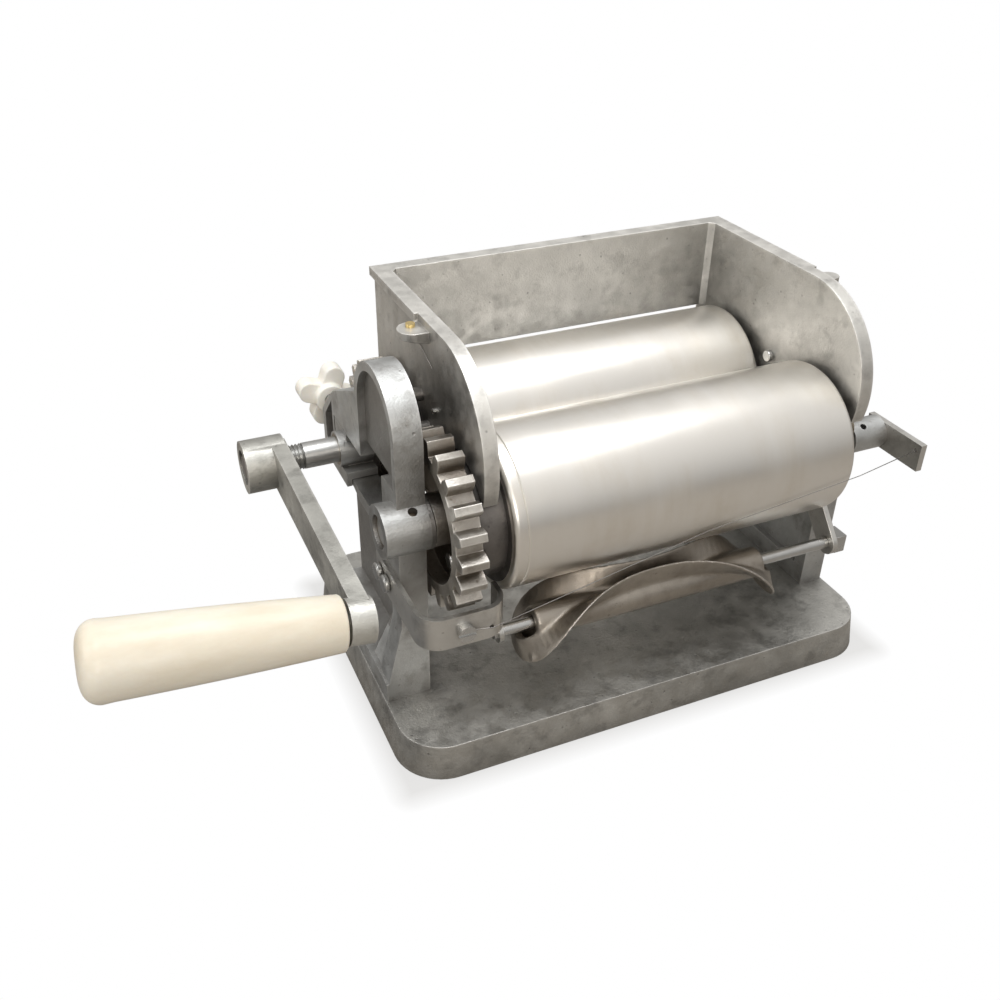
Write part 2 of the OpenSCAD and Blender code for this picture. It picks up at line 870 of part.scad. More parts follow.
module front_shaft() {
    color("silver")
    placed() translate([0, -axis_y, 0])
        x_rod(-left_low + shaft_inset, right_out - right_blind - right_end_gap, shaft_r);
}

module rear_shaft() {
    turns = floor((hub_in - arm_sink - thread_start) / crank_thread);
    color("silver")
    placed() translate([0, axis_y, 0]) {
        x_rod(-thread_start, right_out + slide_fit + ring_len, shaft_r);
        x_rod(-hub_out + hub_recess, -thread_start, shaft_r - crank_thread_depth);
        for (i = [0 : turns - 1])
            translate([-thread_start - (i + 1) * crank_thread, 0, 0]) rotate([0, 90, 0])
                rotate_extrude()
                    polygon([
                        [0, 0], [shaft_r - crank_thread_depth, 0], [shaft_r, crank_thread / 2],
                        [shaft_r - crank_thread_depth, crank_thread], [0, crank_thread]
                    ]);
    }
}

// Gears with involute teeth
function involute_angle(r) = (sqrt(pow(r / gear_base, 2) - 1) * 180 / PI) - acos(gear_base / r);
half_tooth = (PI * gear_module / 2 - backlash) / (2 * axis_y) * 180 / PI;
function flank(r) = half_tooth + involute_angle(axis_y) - involute_angle(r);
flank_radii = [for (i = [0 : flank_steps]) gear_base + (gear_tip - gear_base) * i / flank_steps];
function gear_point(r, a) = [r * cos(a), r * sin(a)];
function gear_points() = [
    for (t = [0 : gear_teeth - 1]) let (a = t * 360 / gear_teeth)
        for (p = concat(
            [gear_point(gear_root, a - flank(gear_base))],
            [for (r = flank_radii) gear_point(r, a - flank(r))],
            [for (i = [flank_steps : -1 : 0]) gear_point(flank_radii[i], a + flank(flank_radii[i]))],
            [gear_point(gear_root, a + flank(gear_base))]
        )) p
];

module gear(turn) {
    difference() {
        translate([-gear_out, 0, 0]) rotate([turn, 0, 0]) rotate([90, 0, 90])
            linear_extrude(gear_w) polygon(gear_points());
        difference() {
            x_rod(-gear_out - overrun, -gear_out + gear_recess, gear_root - gear_rim);
            x_rod(-gear_out - 2 * overrun, -gear_out + gear_recess + overrun, gear_hub_r);
        }
        x_rod(-gear_out - overrun, -gear_in + overrun, shaft_r + run_fit);
        for (i = [0 : gear_screws_each - 1])
            rotate([turn + i * 360 / gear_screws_each, 0, 0]) translate([0, gear_screw_ring, 0])
                x_rod(-gear_out, -gear_in + overrun, gear_screw_d / 2 + run_fit);
    }
}

module gear_screws(turn) {
    for (i = [0 : gear_screws_each - 1])
        rotate([turn + i * 360 / gear_screws_each, 0, 0]) translate([0, gear_screw_ring, 0]) {
            x_rod(-gear_out + gear_recess - gear_screw_head_h, -gear_out + gear_recess,
                  gear_screw_head_d / 2);
            x_rod(-gear_out + gear_recess, -gear_in, gear_screw_d / 2);
        }
}

rear_turn = 180 / gear_teeth + 180;
module front_gear() { color("darkgray") placed() translate([0, -axis_y, 0]) gear(0); }
module rear_gear() { color("darkgray") placed() translate([0, axis_y, 0]) gear(rear_turn); }
module front_gear_screws() { color("silver") placed() translate([0, -axis_y, 0]) gear_screws(0); }
module rear_gear_screws() { color("silver") placed() translate([0, axis_y, 0]) gear_screws(rear_turn); }

// Bearings
module bush(x0, x1) {
    difference() {
        x_rod(x0, x1, bush_r);
        x_rod(x0 - overrun, x1 + overrun, shaft_r + run_fit);
    }
}

module front_bushes() {
    color("peru")
    placed() translate([0, -axis_y, 0]) {
        bush(-left_low + shaft_inset, -left_in + left_boss_in);
        bush(right_in, right_out - right_blind - right_end_gap);
    }
}

module rear_bushes() {
    color("peru")
    placed() translate([0, axis_y, 0]) {
        bush(-left_out - slide_fit - ring_len, -left_in);
        bush(right_in, right_out + slide_fit + ring_len);
    }
}

module bearing_block(x_in, x_out, x_keep) {
    out = x_out > x_in ? 1 : -1;
    ring_r = bush_r + run_fit + ring_wall;
    half = block_half_z - slide_fit;
    keep = x_keep + out * slide_fit;
    keep_out = keep + out * keeper_t;
    foot_top = -half + block_foot_t;
    placed() translate([0, axis_y, 0])
    difference() {
        union() {
            x_rod(x_in, x_out + out * (slide_fit + ring_len), ring_r);
            block([x_in, -block_half_y, -half], [x_out, block_half_y, foot_top]);
            block([x_in, -block_top_y, 0], [x_out, block_half_y, half]);
            block([x_in, -block_top_y, -half], [x_out, block_half_y, half]);
            block([x_out, -block_half_y, -half], [keep_out, block_half_y, foot_top]);
            block([keep, -block_half_y, -keeper_low], [keep_out, block_half_y, foot_top]);
        }
        x_rod(x_in - out, x_out + out * (slide_fit + ring_len + overrun), bush_r + run_fit);
    }
}

module bearing_block_left() { color("lightgray") bearing_block(-left_in, -left_out, -left_out); }
module bearing_block_right() { color("lightgray") bearing_block(right_in, right_out, right_out); }

// Adjusting screws and their knobs
module adjust_screw(x) {
    placed() translate([x, 0, adjust_z])
        y_rod(axis_y + block_half_y + run_fit, knob_y + knob_h - knob_shank, adjust_d / 2);
}

module knob(x) {
    placed() translate([x, 0, adjust_z])
    difference() {
        union() {
            y_rod(knob_y, knob_y + knob_h, adjust_d / 2 + knob_shank);
            for (i = [0 : knob_lobes - 1])
                rotate([0, knob_turn + i * 360 / knob_lobes, 0]) {
                    translate([knob_d / 2 - lobe_r, 0, 0])
                        y_rod(knob_y + knob_shank, knob_y + knob_h, lobe_r);
                    block([0, knob_y + knob_shank, -lobe_r],
                          [knob_d / 2 - lobe_r, knob_y + knob_h, lobe_r]);
                }
        }
        y_rod(knob_y - overrun, knob_y + knob_h - knob_shank, adjust_d / 2 + run_fit);
    }
}

module adjust_screw_left() { color("gray") adjust_screw(adjust_left_x); }
module adjust_screw_right() { color("gray") adjust_screw(adjust_right_x); }
module adjust_knob_left() { color("cornsilk") knob(adjust_left_x); }
module adjust_knob_right() { color("cornsilk") knob(adjust_right_x); }

// Crank, turned to its angle about the rear shaft
module on_crank() {
    placed() translate([0, axis_y, 0]) rotate([-crank_angle, 0, 0]) children();
}

eye_mid = (eye_in + eye_out) / 2;
eye_half = (eye_out - eye_in) / 2;

// From the middle of the crank's eye, along the leaning pin
module leaned() {
    translate([-eye_mid, -crank_len, 0]) rotate([0, grip_lean, 0]) children();
}

module crank_arm() {
    color("darkgray")
    on_crank()
    difference() {
        union() {
            x_rod(-hub_out, -hub_in, hub_r);
            side(-arm_out, -arm_out + arm_t) polygon([
                [0, -arm_w_hub / 2], [0, arm_w_hub / 2],
                [-crank_len, arm_w_end / 2], [-crank_len, -arm_w_end / 2]
            ]);
            leaned() x_rod(-eye_half, eye_half, eye_d / 2);
        }
        x_rod(-hub_out - overrun, -hub_out + hub_recess, hub_recess_d / 2);
        x_rod(-hub_out, -hub_in + overrun, shaft_r - crank_thread_depth + run_fit);
        leaned() x_rod(-eye_out + eye_in, eye_out - eye_in, pin_d / 2 + run_fit);
    }
}

module crank_nut() {
    color("dimgray")
    on_crank() x_hex(-hub_out + hub_recess - nut_h, -hub_out + hub_recess, nut_d);
}

grip_from = eye_half + grip_gap;
pin_end = grip_from + grip_len - pin_short;
module handle_pin() {
    color("silver")
    on_crank() leaned() {
        x_rod(-pin_end + pin_head_h, eye_half, pin_d / 2);
        x_rod(-pin_end, -pin_end + pin_head_h, pin_head_d / 2);
    }
}

grip_in_r = grip_d_in / 2;
grip_out_r = grip_d_out / 2;
grip_edge = 1.2;
dome_h = 9;
dome_ball = (pow(grip_out_r - grip_edge, 2) + pow(dome_h - grip_edge, 2)) / (2 * (dome_h - grip_edge));
module handle_grip() {
    color("oldlace")
    on_crank() leaned() translate([-grip_from, 0, 0]) rotate([0, -90, 0])
    difference() {
        union() {
            rotate_extrude() polygon([
                [0, 0], [grip_in_r - grip_edge, 0], [grip_in_r, grip_edge],
                [grip_out_r, grip_len - dome_h], [grip_out_r - grip_edge, grip_len - dome_h + grip_edge],
                [0, grip_len - dome_h + grip_edge]
            ]);
            intersection() {
                translate([0, 0, grip_len - dome_ball]) sphere(r = dome_ball);
                translate([0, 0, grip_len - dome_h])
                    cylinder(r = grip_out_r - grip_edge, h = dome_h + overrun);
            }
        }
        translate([0, 0, -overrun])
            cylinder(r = pin_d / 2 + run_fit, h = grip_len - pin_short - pin_head_h + overrun);
        translate([0, 0, grip_len - pin_short - pin_head_h - slide_fit])
            cylinder(r = pin_head_d / 2 + slide_fit, h = pin_head_h + 2 * slide_fit);
    }
}

// Cutter: a closed knife wrapped round its drum
function knife_point(a, r, off) =
    let (
        x = cutter_len / 2 * cos(a), w = knife_turn + knife_wrap * sin(a),
        dx = -cutter_len / 2 * sin(a), dw = r * knife_wrap * PI / 180 * cos(a),
        n = norm([dx, dw]), ox = off * dw / n, ow = -off * dx / n
    )
    [x + ox, r * cos(w) - ow * sin(w), r * sin(w) + ow * cos(w)];

knife_rows = [
    [drum_r - knife_sink, -knife_t / 2], [cutter_r, -knife_edge / 2],
    [cutter_r, knife_edge / 2], [drum_r - knife_sink, knife_t / 2]
];
module knife() {
    rows = len(knife_rows);
    points = [
        for (i = [0 : knife_steps - 1]) for (q = knife_rows)
            knife_point(i * 360 / knife_steps, q[0], q[1])
    ];
    faces = [
        for (i = [0 : knife_steps - 1]) for (j = [0 : rows - 1])
            let (
                a = i * rows + j, b = i * rows + (j + 1) % rows,
                c = (i + 1) % knife_steps * rows + (j + 1) % rows, d = (i + 1) % knife_steps * rows + j
            )
            each [[a, b, c], [a, c, d]]
    ];
    polyhedron(points, faces);
}

module cutter_knife() {
    color("silver")
    placed() translate([cutter_mid, rod_y, rod_z]) knife();
}

// The dished wall that joins the knife to the drum's end, drawn along +Z
module dish_wall() {
    hollow = merge / 2 - drum_end - knife_edge + overrun;
    difference() {
        union() {
            translate([0, 0, knife_edge]) cylinder(r = dish_r, h = dish_rim);
            translate([0, 0, knife_edge + dish_rim])
                cylinder(r1 = dish_r, r2 = drum_r - merge, h = dish_end - dish_rim - knife_edge);
        }
        translate([0, 0, knife_edge - overrun])
            cylinder(r1 = dish_r - overrun / 2, r2 = dish_hub_r, h = hollow);
    }
}

module dish_wedge() {
    far = 2 * cutter_r;
    linear_extrude(dish_end + overrun) polygon([
        [0, 0], [far, -far * tan(dish_wrap)], [far, far * tan(dish_wrap)]
    ]);
}

module cutter_drum() {
    color("silver")
    placed() translate([cutter_mid, rod_y, rod_z])
    difference() {
        union() {
            x_rod(-cutter_len / 2 - drum_end, cutter_len / 2 + drum_end, drum_r);
            translate([-cutter_len / 2, 0, 0]) rotate([knife_turn, 0, 0]) rotate([90, 0, 90])
                intersection() {
                    dish_wall();
                    dish_wedge();
                }
        }
        x_rod(-cutter_len, cutter_len, rod_r + run_fit);
    }
}

rod_left = -strap_right - strap_t - rod_over;
nut_x = hanger_x + hanger_t;
rod_right = nut_x + square_nut_h + rod_over;
module cutter_rod() {
    color("silver")
    placed() translate([0, rod_y, rod_z]) x_rod(rod_left, rod_right, rod_r);
}

module cutter_nut() {
    color("silver")
    placed() translate([0, rod_y, rod_z])
    difference() {
        block([nut_x, -square_nut / 2, -square_nut / 2],
              [nut_x + square_nut_h, square_nut / 2, square_nut / 2]);
        x_rod(nut_x - overrun, nut_x + square_nut_h + overrun, rod_r + run_fit);
    }
}

// Strap: a flat bar bent round the front gear, from the left frame to the rod
module strap_bar() {
    x0 = -left_out - strap_t;
    x1 = -strap_right;
    difference() {
        block([x0, strap_out_y, strap_low_z], [x1, strap_back, strap_top_z]);
        block([x0 + strap_t, strap_out_y + strap_t, strap_low_z - overrun],
              [x1 - strap_t, strap_back + overrun, strap_top_z + overrun]);
        block([x1 - strap_t - overrun, strap_tab_y, strap_low_z - overrun],
              [x1 + overrun, strap_back + overrun, strap_top_z + overrun]);
        for (c = [[x0, 1], [x1, -1]])
            translate([c[0] + c[1] * strap_bend, strap_out_y + strap_bend, strap_low_z - overrun])
            difference() {
                translate([-c[1] * strap_bend / 2 - strap_bend / 2 - overrun / 2 * (1 + c[1]),
                           -strap_bend - overrun, 0])
                    cube([strap_bend + overrun, strap_bend + overrun, strap_h + 2 * overrun]);
                cylinder(r = strap_bend, h = strap_h + 2 * overrun);
            }
    }
    for (c = [[x0, 1], [x1, -1]])
        translate([c[0] + c[1] * strap_bend, strap_out_y + strap_bend, strap_low_z])
            intersection() {
                difference() {
                    cylinder(r = strap_bend, h = strap_h);
                    translate([0, 0, -overrun])
                        cylinder(r = strap_bend - strap_t, h = strap_h + 2 * overrun);
                }
                translate([-c[1] * strap_bend / 2 - strap_bend / 2, -strap_bend, 0])
                    cube([strap_bend, strap_bend, strap_h]);
            }
}

module cutter_strap() {
    color("slategray")
    placed()
    difference() {
        union() {
            strap_bar();
            translate([0, rod_y, rod_z]) x_rod(-strap_right - strap_t, -strap_right, strap_lobe_r);
            block([-strap_right - strap_t, rod_y - strap_lobe_r + strap_t, rod_z],
                  [-strap_right, strap_tab_y, strap_low_z + merge]);
        }
        translate([0, rod_y, rod_z])
            x_rod(-strap_right - strap_t - overrun, -strap_right + overrun, rod_r + run_fit);
        for (y = strap_screw_y)
            translate([0, y, strap_screw_z])
                x_rod(-left_out - strap_t - overrun, -left_out + overrun, strap_screw_d / 2 + run_fit);
        translate([wire_screw_x, 0, wire_screw_z])
            y_rod(strap_out_y - overrun, strap_in_y + overrun, wire_screw_d / 2 + run_fit);
        translate([wire_hole_x, 0, wire_hole_z])
            y_rod(strap_out_y - overrun, strap_in_y + overrun, arm_hole_d / 2);
    }
}

module strap_screws() {
    color("silver")
    placed()
        for (y = strap_screw_y)
            translate([0, y, strap_screw_z]) {
                x_rod(-left_out - strap_t - strap_screw_head_h, -left_out - strap_t,
                      strap_screw_head_d / 2);
                x_rod(-left_out - strap_t, -left_out + strap_screw_d - screw_gap, strap_screw_d / 2);
            }
}

module wire_screw() {
    color("silver")
    placed() translate([wire_screw_x, 0, wire_screw_z]) {
        difference() {
            y_rod(strap_out_y - wire_screw_head_h, strap_out_y, wire_screw_head_d / 2);
            block([-wire_screw_head_d, strap_out_y - wire_screw_head_h - overrun, -wire_d],
                  [wire_screw_head_d, strap_out_y - wire_screw_head_h + overrun, wire_d]);
        }
        y_rod(strap_out_y, strap_in_y, wire_screw_d / 2);
    }
}

// Hanger: a flat bent lever from the right frame to the rod's other end
function hanger_screw_places() = [hanger_bend, hanger_end];

module hanger_bar(a, b) {
    across = hanger_w / 2 * [-(b - a).y, (b - a).x] / norm(b - a);
    polygon([a - across, b - across, b + across, a + across]);
    translate(a) circle(hanger_w / 2);
}

module cutter_hanger() {
    color("lightgray")
    placed()
    difference() {
        side(hanger_x, hanger_x + hanger_t) {
            hanger_bar([rod_y, rod_z], hanger_bend);
            hanger_bar(hanger_bend, hanger_end);
            translate(hanger_end) circle(hanger_w / 2);
        }
        translate([0, rod_y, rod_z]) x_rod(hanger_x - overrun, nut_x + overrun, rod_r + run_fit);
        for (p = hanger_screw_places())
            translate([0, p[0], p[1]])
                x_rod(hanger_x - overrun, nut_x + overrun, hanger_screw_d / 2 + run_fit);
    }
}

module hanger_screws() {
    color("silver")
    placed()
        for (p = hanger_screw_places())
            translate([0, p[0], p[1]]) {
                x_rod(hanger_x - hanger_screw_head_h, hanger_x, hanger_screw_head_d / 2);
                x_rod(hanger_x, right_in + hanger_t, hanger_screw_d / 2);
            }
}

// Stripper wire and the bar that holds its right end
module wire_arm() {
    color("dimgray")
    placed()
    difference() {
        block([post_end, arm_bar_tip, arm_bar_z - arm_bar_h / 2],
              [post_end + arm_bar_t, arm_bar_back, arm_bar_z + arm_bar_h / 2]);
        translate([0, arm_hole.y, arm_hole.z])
            x_rod(post_end - overrun, post_end + arm_bar_t + overrun, arm_hole_d / 2);
        translate([0, -axis_y, arm_bar_z])
            x_rod(post_end - overrun, post_end + arm_bar_t + overrun, wire_screw_d / 2 + run_fit);
    }
}

module wire_arm_screw() {
    color("silver")
    placed() translate([0, -axis_y, arm_bar_z]) {
        x_rod(post_end + arm_bar_t, post_end + arm_bar_t + wire_screw_head_h, wire_screw_head_d / 2);
        x_rod(post_end - post_r + screw_gap, post_end + arm_bar_t, wire_screw_d / 2);
    }
}

module stripper_wire() {
    color("silver")
    placed() bent_wire(wire_points);
}

base_plate();
left_frame();
right_frame();
hopper();
front_roller();
front_roller_heads();
front_shaft();
front_gear();
rear_roller();
rear_roller_heads();
rear_shaft();
rear_gear();
front_gear_screws();
rear_gear_screws();
front_bushes();
rear_bushes();
bearing_block_left();
bearing_block_right();
adjust_screw_left();
adjust_screw_right();
adjust_knob_left();
adjust_knob_right();
crank_arm();
crank_nut();
handle_pin();
handle_grip();
cutter_drum();
cutter_knife();
cutter_rod();
cutter_nut();
cutter_strap();
cutter_hanger();
strap_screws();
hanger_screws();
wire_screw();
wire_arm();
wire_arm_screw();
stripper_wire();
hopper_screws();
frame_bolts();
brass_screws();
ear_wire();
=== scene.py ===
import json
import math

import bmesh
import bpy
from mathutils import Matrix, Vector


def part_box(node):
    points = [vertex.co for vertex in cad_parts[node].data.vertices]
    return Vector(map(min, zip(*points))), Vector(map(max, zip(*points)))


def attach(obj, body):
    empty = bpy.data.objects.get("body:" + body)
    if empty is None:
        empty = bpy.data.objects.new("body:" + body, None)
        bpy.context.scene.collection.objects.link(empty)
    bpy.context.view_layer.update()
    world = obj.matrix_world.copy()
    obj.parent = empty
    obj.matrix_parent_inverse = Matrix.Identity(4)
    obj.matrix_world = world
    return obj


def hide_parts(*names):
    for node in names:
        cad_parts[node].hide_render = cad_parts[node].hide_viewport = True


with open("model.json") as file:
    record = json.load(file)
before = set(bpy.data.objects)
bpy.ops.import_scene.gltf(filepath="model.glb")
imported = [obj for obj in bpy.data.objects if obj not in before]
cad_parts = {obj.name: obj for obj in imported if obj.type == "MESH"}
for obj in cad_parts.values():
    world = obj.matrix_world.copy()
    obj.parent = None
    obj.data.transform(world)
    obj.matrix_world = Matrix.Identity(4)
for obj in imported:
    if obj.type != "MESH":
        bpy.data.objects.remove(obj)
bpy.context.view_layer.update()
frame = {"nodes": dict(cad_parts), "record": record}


# View, light and floor
# The camera stands to the front left, a little above the hopper, as in the photograph.
# Big soft lamps hang over and before the machine, and everything around it is white.
camera = bpy.data.objects.new("camera", bpy.data.cameras.new("camera"))
bpy.context.scene.collection.objects.link(camera)
camera_axes = Matrix(((0.9225, 0.2094, -0.3244), (-0.3861, 0.5003, -0.7751), (0.0, 0.8403, 0.5423)))
camera.matrix_world = Matrix.Translation((-0.27183, -0.4668, 0.4346)) @ camera_axes.to_4x4()
camera.data.sensor_width = 36
camera.data.lens = 37.904
camera.data.shift_x = 0.0283
camera.data.clip_start = 0.02
bpy.context.scene.camera = camera
bpy.context.scene.view_settings.view_transform = "Standard"


def nodes_of(owner):
    """Gives a material or a world an empty node tree, and returns the tree."""
    owner.use_nodes = True
    tree = owner.node_tree
    tree.nodes.clear()
    return tree


def add(tree, kind, **settings):
    """Adds a node: sockets are set by name, and the rest are the node's own settings."""
    node = tree.nodes.new(kind)
    for key, value in settings.items():
        if hasattr(node, key):
            setattr(node, key, value)
        else:
            node.inputs[key.replace("_", " ")].default_value = value
    return node


def wire(tree, *pairs):
    """Joins sockets, each pair an output and an input."""
    for out, into in pairs:
        tree.links.new(out, into)


def lamp(name, place, target, size, power, colour):
    """A soft square lamp at a place, turned to a target."""
    light = bpy.data.lights.new(name, "AREA")
    light.shape = "RECTANGLE"
    light.size, light.size_y = size
    light.energy = power
    light.color = colour
    holder = bpy.data.objects.new(name, light)
    bpy.context.scene.collection.objects.link(holder)
    way = Vector(target) - Vector(place)
    holder.matrix_world = Matrix.Translation(place) @ way.to_track_quat("-Z", "Y").to_matrix().to_4x4()


MACHINE_MIDDLE = (0, 0, 0.1)
lamp("overhead", (0.05, -0.1, 1.5), MACHINE_MIDDLE, size=(1.3, 0.7), power=11, colour=(0.98, 0.99, 1.0))
lamp("front", (-0.5, -1.5, 0.8), MACHINE_MIDDLE, size=(0.9, 0.5), power=6.5, colour=(1.0, 0.94, 0.86))
lamp("left", (-1.5, 0.1, 0.9), MACHINE_MIDDLE, size=(0.6, 0.9), power=4.5, colour=(1.0, 0.99, 0.97))

# The surroundings are darker below and light above; the camera itself sees plain white.
world = bpy.data.worlds.new("surroundings")
bpy.context.scene.world = world
tree = nodes_of(world)
direction = add(tree, "ShaderNodeTexCoord")
split = add(tree, "ShaderNodeSeparateXYZ")
height = add(tree, "ShaderNodeMapRange", From_Min=-0.3, From_Max=0.8, To_Min=0.16, To_Max=0.78)
room = add(tree, "ShaderNodeBackground", Color=(1.0, 0.98, 0.95, 1.0))
white = add(tree, "ShaderNodeBackground", Color=(1.0, 1.0, 1.0, 1.0), Strength=1.0)
ray = add(tree, "ShaderNodeLightPath")
either = add(tree, "ShaderNodeMixShader")
out = add(tree, "ShaderNodeOutputWorld")
wire(tree,
     (direction.outputs["Generated"], split.inputs[0]),
     (split.outputs["Z"], height.inputs["Value"]),
     (height.outputs[0], room.inputs["Strength"]),
     (ray.outputs["Is Camera Ray"], either.inputs[0]),
     (room.outputs[0], either.inputs[1]),
     (white.outputs[0], either.inputs[2]),
     (either.outputs[0], out.inputs[0]))

# The floor is white to the camera and runs out of sight. It leaves room at the left for the
# crank's swing, as a table's edge does. Beside the base the white fades into a dark matt floor
# that shows the real shadow and also paints a grey ring of shade where no shadow falls.
FLOOR_REACH = 3.0
SWING_X = (-0.330, -0.166)
SWING_Y = (-0.115, 0.200)
FLOOR_DROP = 0.0002
SHADOW_REACH = 0.014
base_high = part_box("base_plate")[1]
bm = bmesh.new()
bmesh.ops.create_grid(bm, x_segments=3, y_segments=3, size=1.0)
columns = sorted({round(v.co.x, 4) for v in bm.verts})
places_x = dict(zip(columns, (-FLOOR_REACH, SWING_X[0], SWING_X[1], FLOOR_REACH)))
places_y = dict(zip(columns, (-FLOOR_REACH, SWING_Y[0], SWING_Y[1], FLOOR_REACH)))
middle = [f for f in bm.faces if f.calc_center_median().length < 0.1]
for v in bm.verts:
    v.co.x, v.co.y = places_x[round(v.co.x, 4)], places_y[round(v.co.y, 4)]
bmesh.ops.delete(bm, geom=middle, context="FACES")
floor_mesh = bpy.data.meshes.new("floor")
bm.to_mesh(floor_mesh)
bm.free()
floor = bpy.data.objects.new("floor", floor_mesh)
floor.location.z = -FLOOR_DROP
bpy.context.scene.collection.objects.link(floor)
floor_paint = bpy.data.materials.new("floor_paint")
tree = nodes_of(floor_paint)
spot = add(tree, "ShaderNodeTexCoord")
centred = add(tree, "ShaderNodeVectorMath", operation="ABSOLUTE")
edge = add(tree, "ShaderNodeVectorMath", operation="SUBTRACT")
edge.inputs[1].default_value = (base_high.x, base_high.y, 0)
outside = add(tree, "ShaderNodeVectorMath", operation="MAXIMUM")
distance = add(tree, "ShaderNodeVectorMath", operation="LENGTH")
# Real shadow and painted shade: within SHADOW_REACH of the base the camera sees part of the dark matt
# floor.
base_shade_ring = add(tree, "ShaderNodeMapRange", From_Min=0.0, From_Max=SHADOW_REACH, To_Min=0.7, To_Max=1.0)
ray = add(tree, "ShaderNodeLightPath")
share = add(tree, "ShaderNodeMath", operation="MULTIPLY")
matt = add(tree, "ShaderNodeBsdfDiffuse", Color=(0.30, 0.28, 0.255, 1.0))
bright = add(tree, "ShaderNodeEmission", Color=(1.0, 1.0, 1.0, 1.0), Strength=1.0)
either = add(tree, "ShaderNodeMixShader")
out = add(tree, "ShaderNodeOutputMaterial")
wire(tree,
     (spot.outputs["Object"], centred.inputs[0]),
     (centred.outputs[0], edge.inputs[0]),
     (edge.outputs[0], outside.inputs[0]),
     (outside.outputs[0], distance.inputs[0]),
     (distance.outputs["Value"], base_shade_ring.inputs["Value"]),
     (base_shade_ring.outputs[0], share.inputs[0]),
     (ray.outputs["Is Camera Ray"], share.inputs[1]),
     (share.outputs[0], either.inputs[0]),
     (matt.outputs[0], either.inputs[1]),
     (bright.outputs[0], either.inputs[2]),
     (either.outputs[0], out.inputs[0]))
floor.data.materials.append(floor_paint)


# Base
# The base is a heavy aluminium casting with a dark, pebbled skin, worn pale along its
# top edge. The mould leaves its edges round, so every edge gets a small radius here.
def group(name, inputs, outputs):
    """A shader group with named inputs and outputs, and its two end nodes."""
    tree = bpy.data.node_groups.new(name, "ShaderNodeTree")
    for key, kind, value in inputs:
        socket = tree.interface.new_socket(key, in_out="INPUT", socket_type=kind)
        socket.default_value = value
    for key, kind in outputs:
        tree.interface.new_socket(key, in_out="OUTPUT", socket_type=kind)
    return tree, tree.nodes.new("NodeGroupInput"), tree.nodes.new("NodeGroupOutput")


def mix(tree, first, second, factor):
    """Mixes two colours by a factor; each is a socket or a value."""
    node = tree.nodes.new("ShaderNodeMix")
    node.data_type = "RGBA"
    for socket, value in ((node.inputs[0], factor), (node.inputs[6], first), (node.inputs[7], second)):
        if isinstance(value, bpy.types.NodeSocket):
            tree.links.new(value, socket)
        else:
            socket.default_value = value
    return node.outputs[2]


def remap(tree, value, low, high, to_low=0.0, to_high=1.0):
    """Stretches a value's range and keeps it inside."""
    node = add(tree, "ShaderNodeMapRange", From_Min=low, From_Max=high, To_Min=to_low, To_Max=to_high)
    tree.links.new(value, node.inputs["Value"])
    return node.outputs[0]


def noise(tree, vector, scale, detail, rough=0.55, stretch=None):
    """Noise over a place, with its own stretch along the axes."""
    if stretch:
        turn = add(tree, "ShaderNodeMapping")
        turn.inputs["Scale"].default_value = stretch
        tree.links.new(vector, turn.inputs[0])
        vector = turn.outputs[0]
    node = add(tree, "ShaderNodeTexNoise", Scale=scale, Detail=detail, Roughness=rough)
    tree.links.new(vector, node.inputs["Vector"])
    return node.outputs["Fac"]


RGB, NUM = "NodeSocketColor", "NodeSocketFloat"

# Edge wear: pale where corners rub, found from how far the rounded normal leans away.
edge_wear, given, result = group(
    "edge_wear",
    [("Width", NUM, 0.002), ("Amount", NUM, 1.0)],
    [("Mask", NUM)])
rounded = add(edge_wear, "ShaderNodeBevel", samples=4)
real = add(edge_wear, "ShaderNodeNewGeometry")
lean = add(edge_wear, "ShaderNodeVectorMath", operation="DOT_PRODUCT")
place = add(edge_wear, "ShaderNodeTexCoord").outputs["Object"]
wire(edge_wear,
     (given.outputs["Width"], rounded.inputs["Radius"]),
     (rounded.outputs[0], lean.inputs[0]),
     (real.outputs["Normal"], lean.inputs[1]))
patchy = remap(edge_wear, noise(edge_wear, place, scale=160, detail=3), 0.35, 0.65, 0.25, 1.0)
near = remap(edge_wear, lean.outputs["Value"], 0.995, 0.90)
worn = add(edge_wear, "ShaderNodeMath", operation="MULTIPLY")
total = add(edge_wear, "ShaderNodeMath", operation="MULTIPLY", use_clamp=True)
wire(edge_wear,
     (near, worn.inputs[0]),
     (patchy, worn.inputs[1]),
     (worn.outputs[0], total.inputs[0]),
     (given.outputs["Amount"], total.inputs[1]),
     (total.outputs[0], result.inputs[0]))

# Painted shade with some grime: dark where faces meet or hide behind one another (ambient occlusion),
# broken up by noise.
shade_and_grime, given, result = group(
    "shade_and_grime",
    [("Reach", NUM, 0.02), ("Amount", NUM, 1.0)],
    [("Mask", NUM)])
hidden = add(shade_and_grime, "ShaderNodeAmbientOcclusion", samples=8)
place = add(shade_and_grime, "ShaderNodeTexCoord").outputs["Object"]
covered = remap(shade_and_grime, hidden.outputs["AO"], 0.92, 0.35)
uneven = remap(shade_and_grime, noise(shade_and_grime, place, scale=90, detail=4), 0.3, 0.7, 0.6, 1.0)
shaded_and_dirty = add(shade_and_grime, "ShaderNodeMath", operation="MULTIPLY")
total = add(shade_and_grime, "ShaderNodeMath", operation="MULTIPLY", use_clamp=True)
wire(shade_and_grime,
     (given.outputs["Reach"], hidden.inputs["Distance"]),
     (covered, shaded_and_dirty.inputs[0]),
     (uneven, shaded_and_dirty.inputs[1]),
     (shaded_and_dirty.outputs[0], total.inputs[0]),
     (given.outputs["Amount"], total.inputs[1]),
     (total.outputs[0], result.inputs[0]))
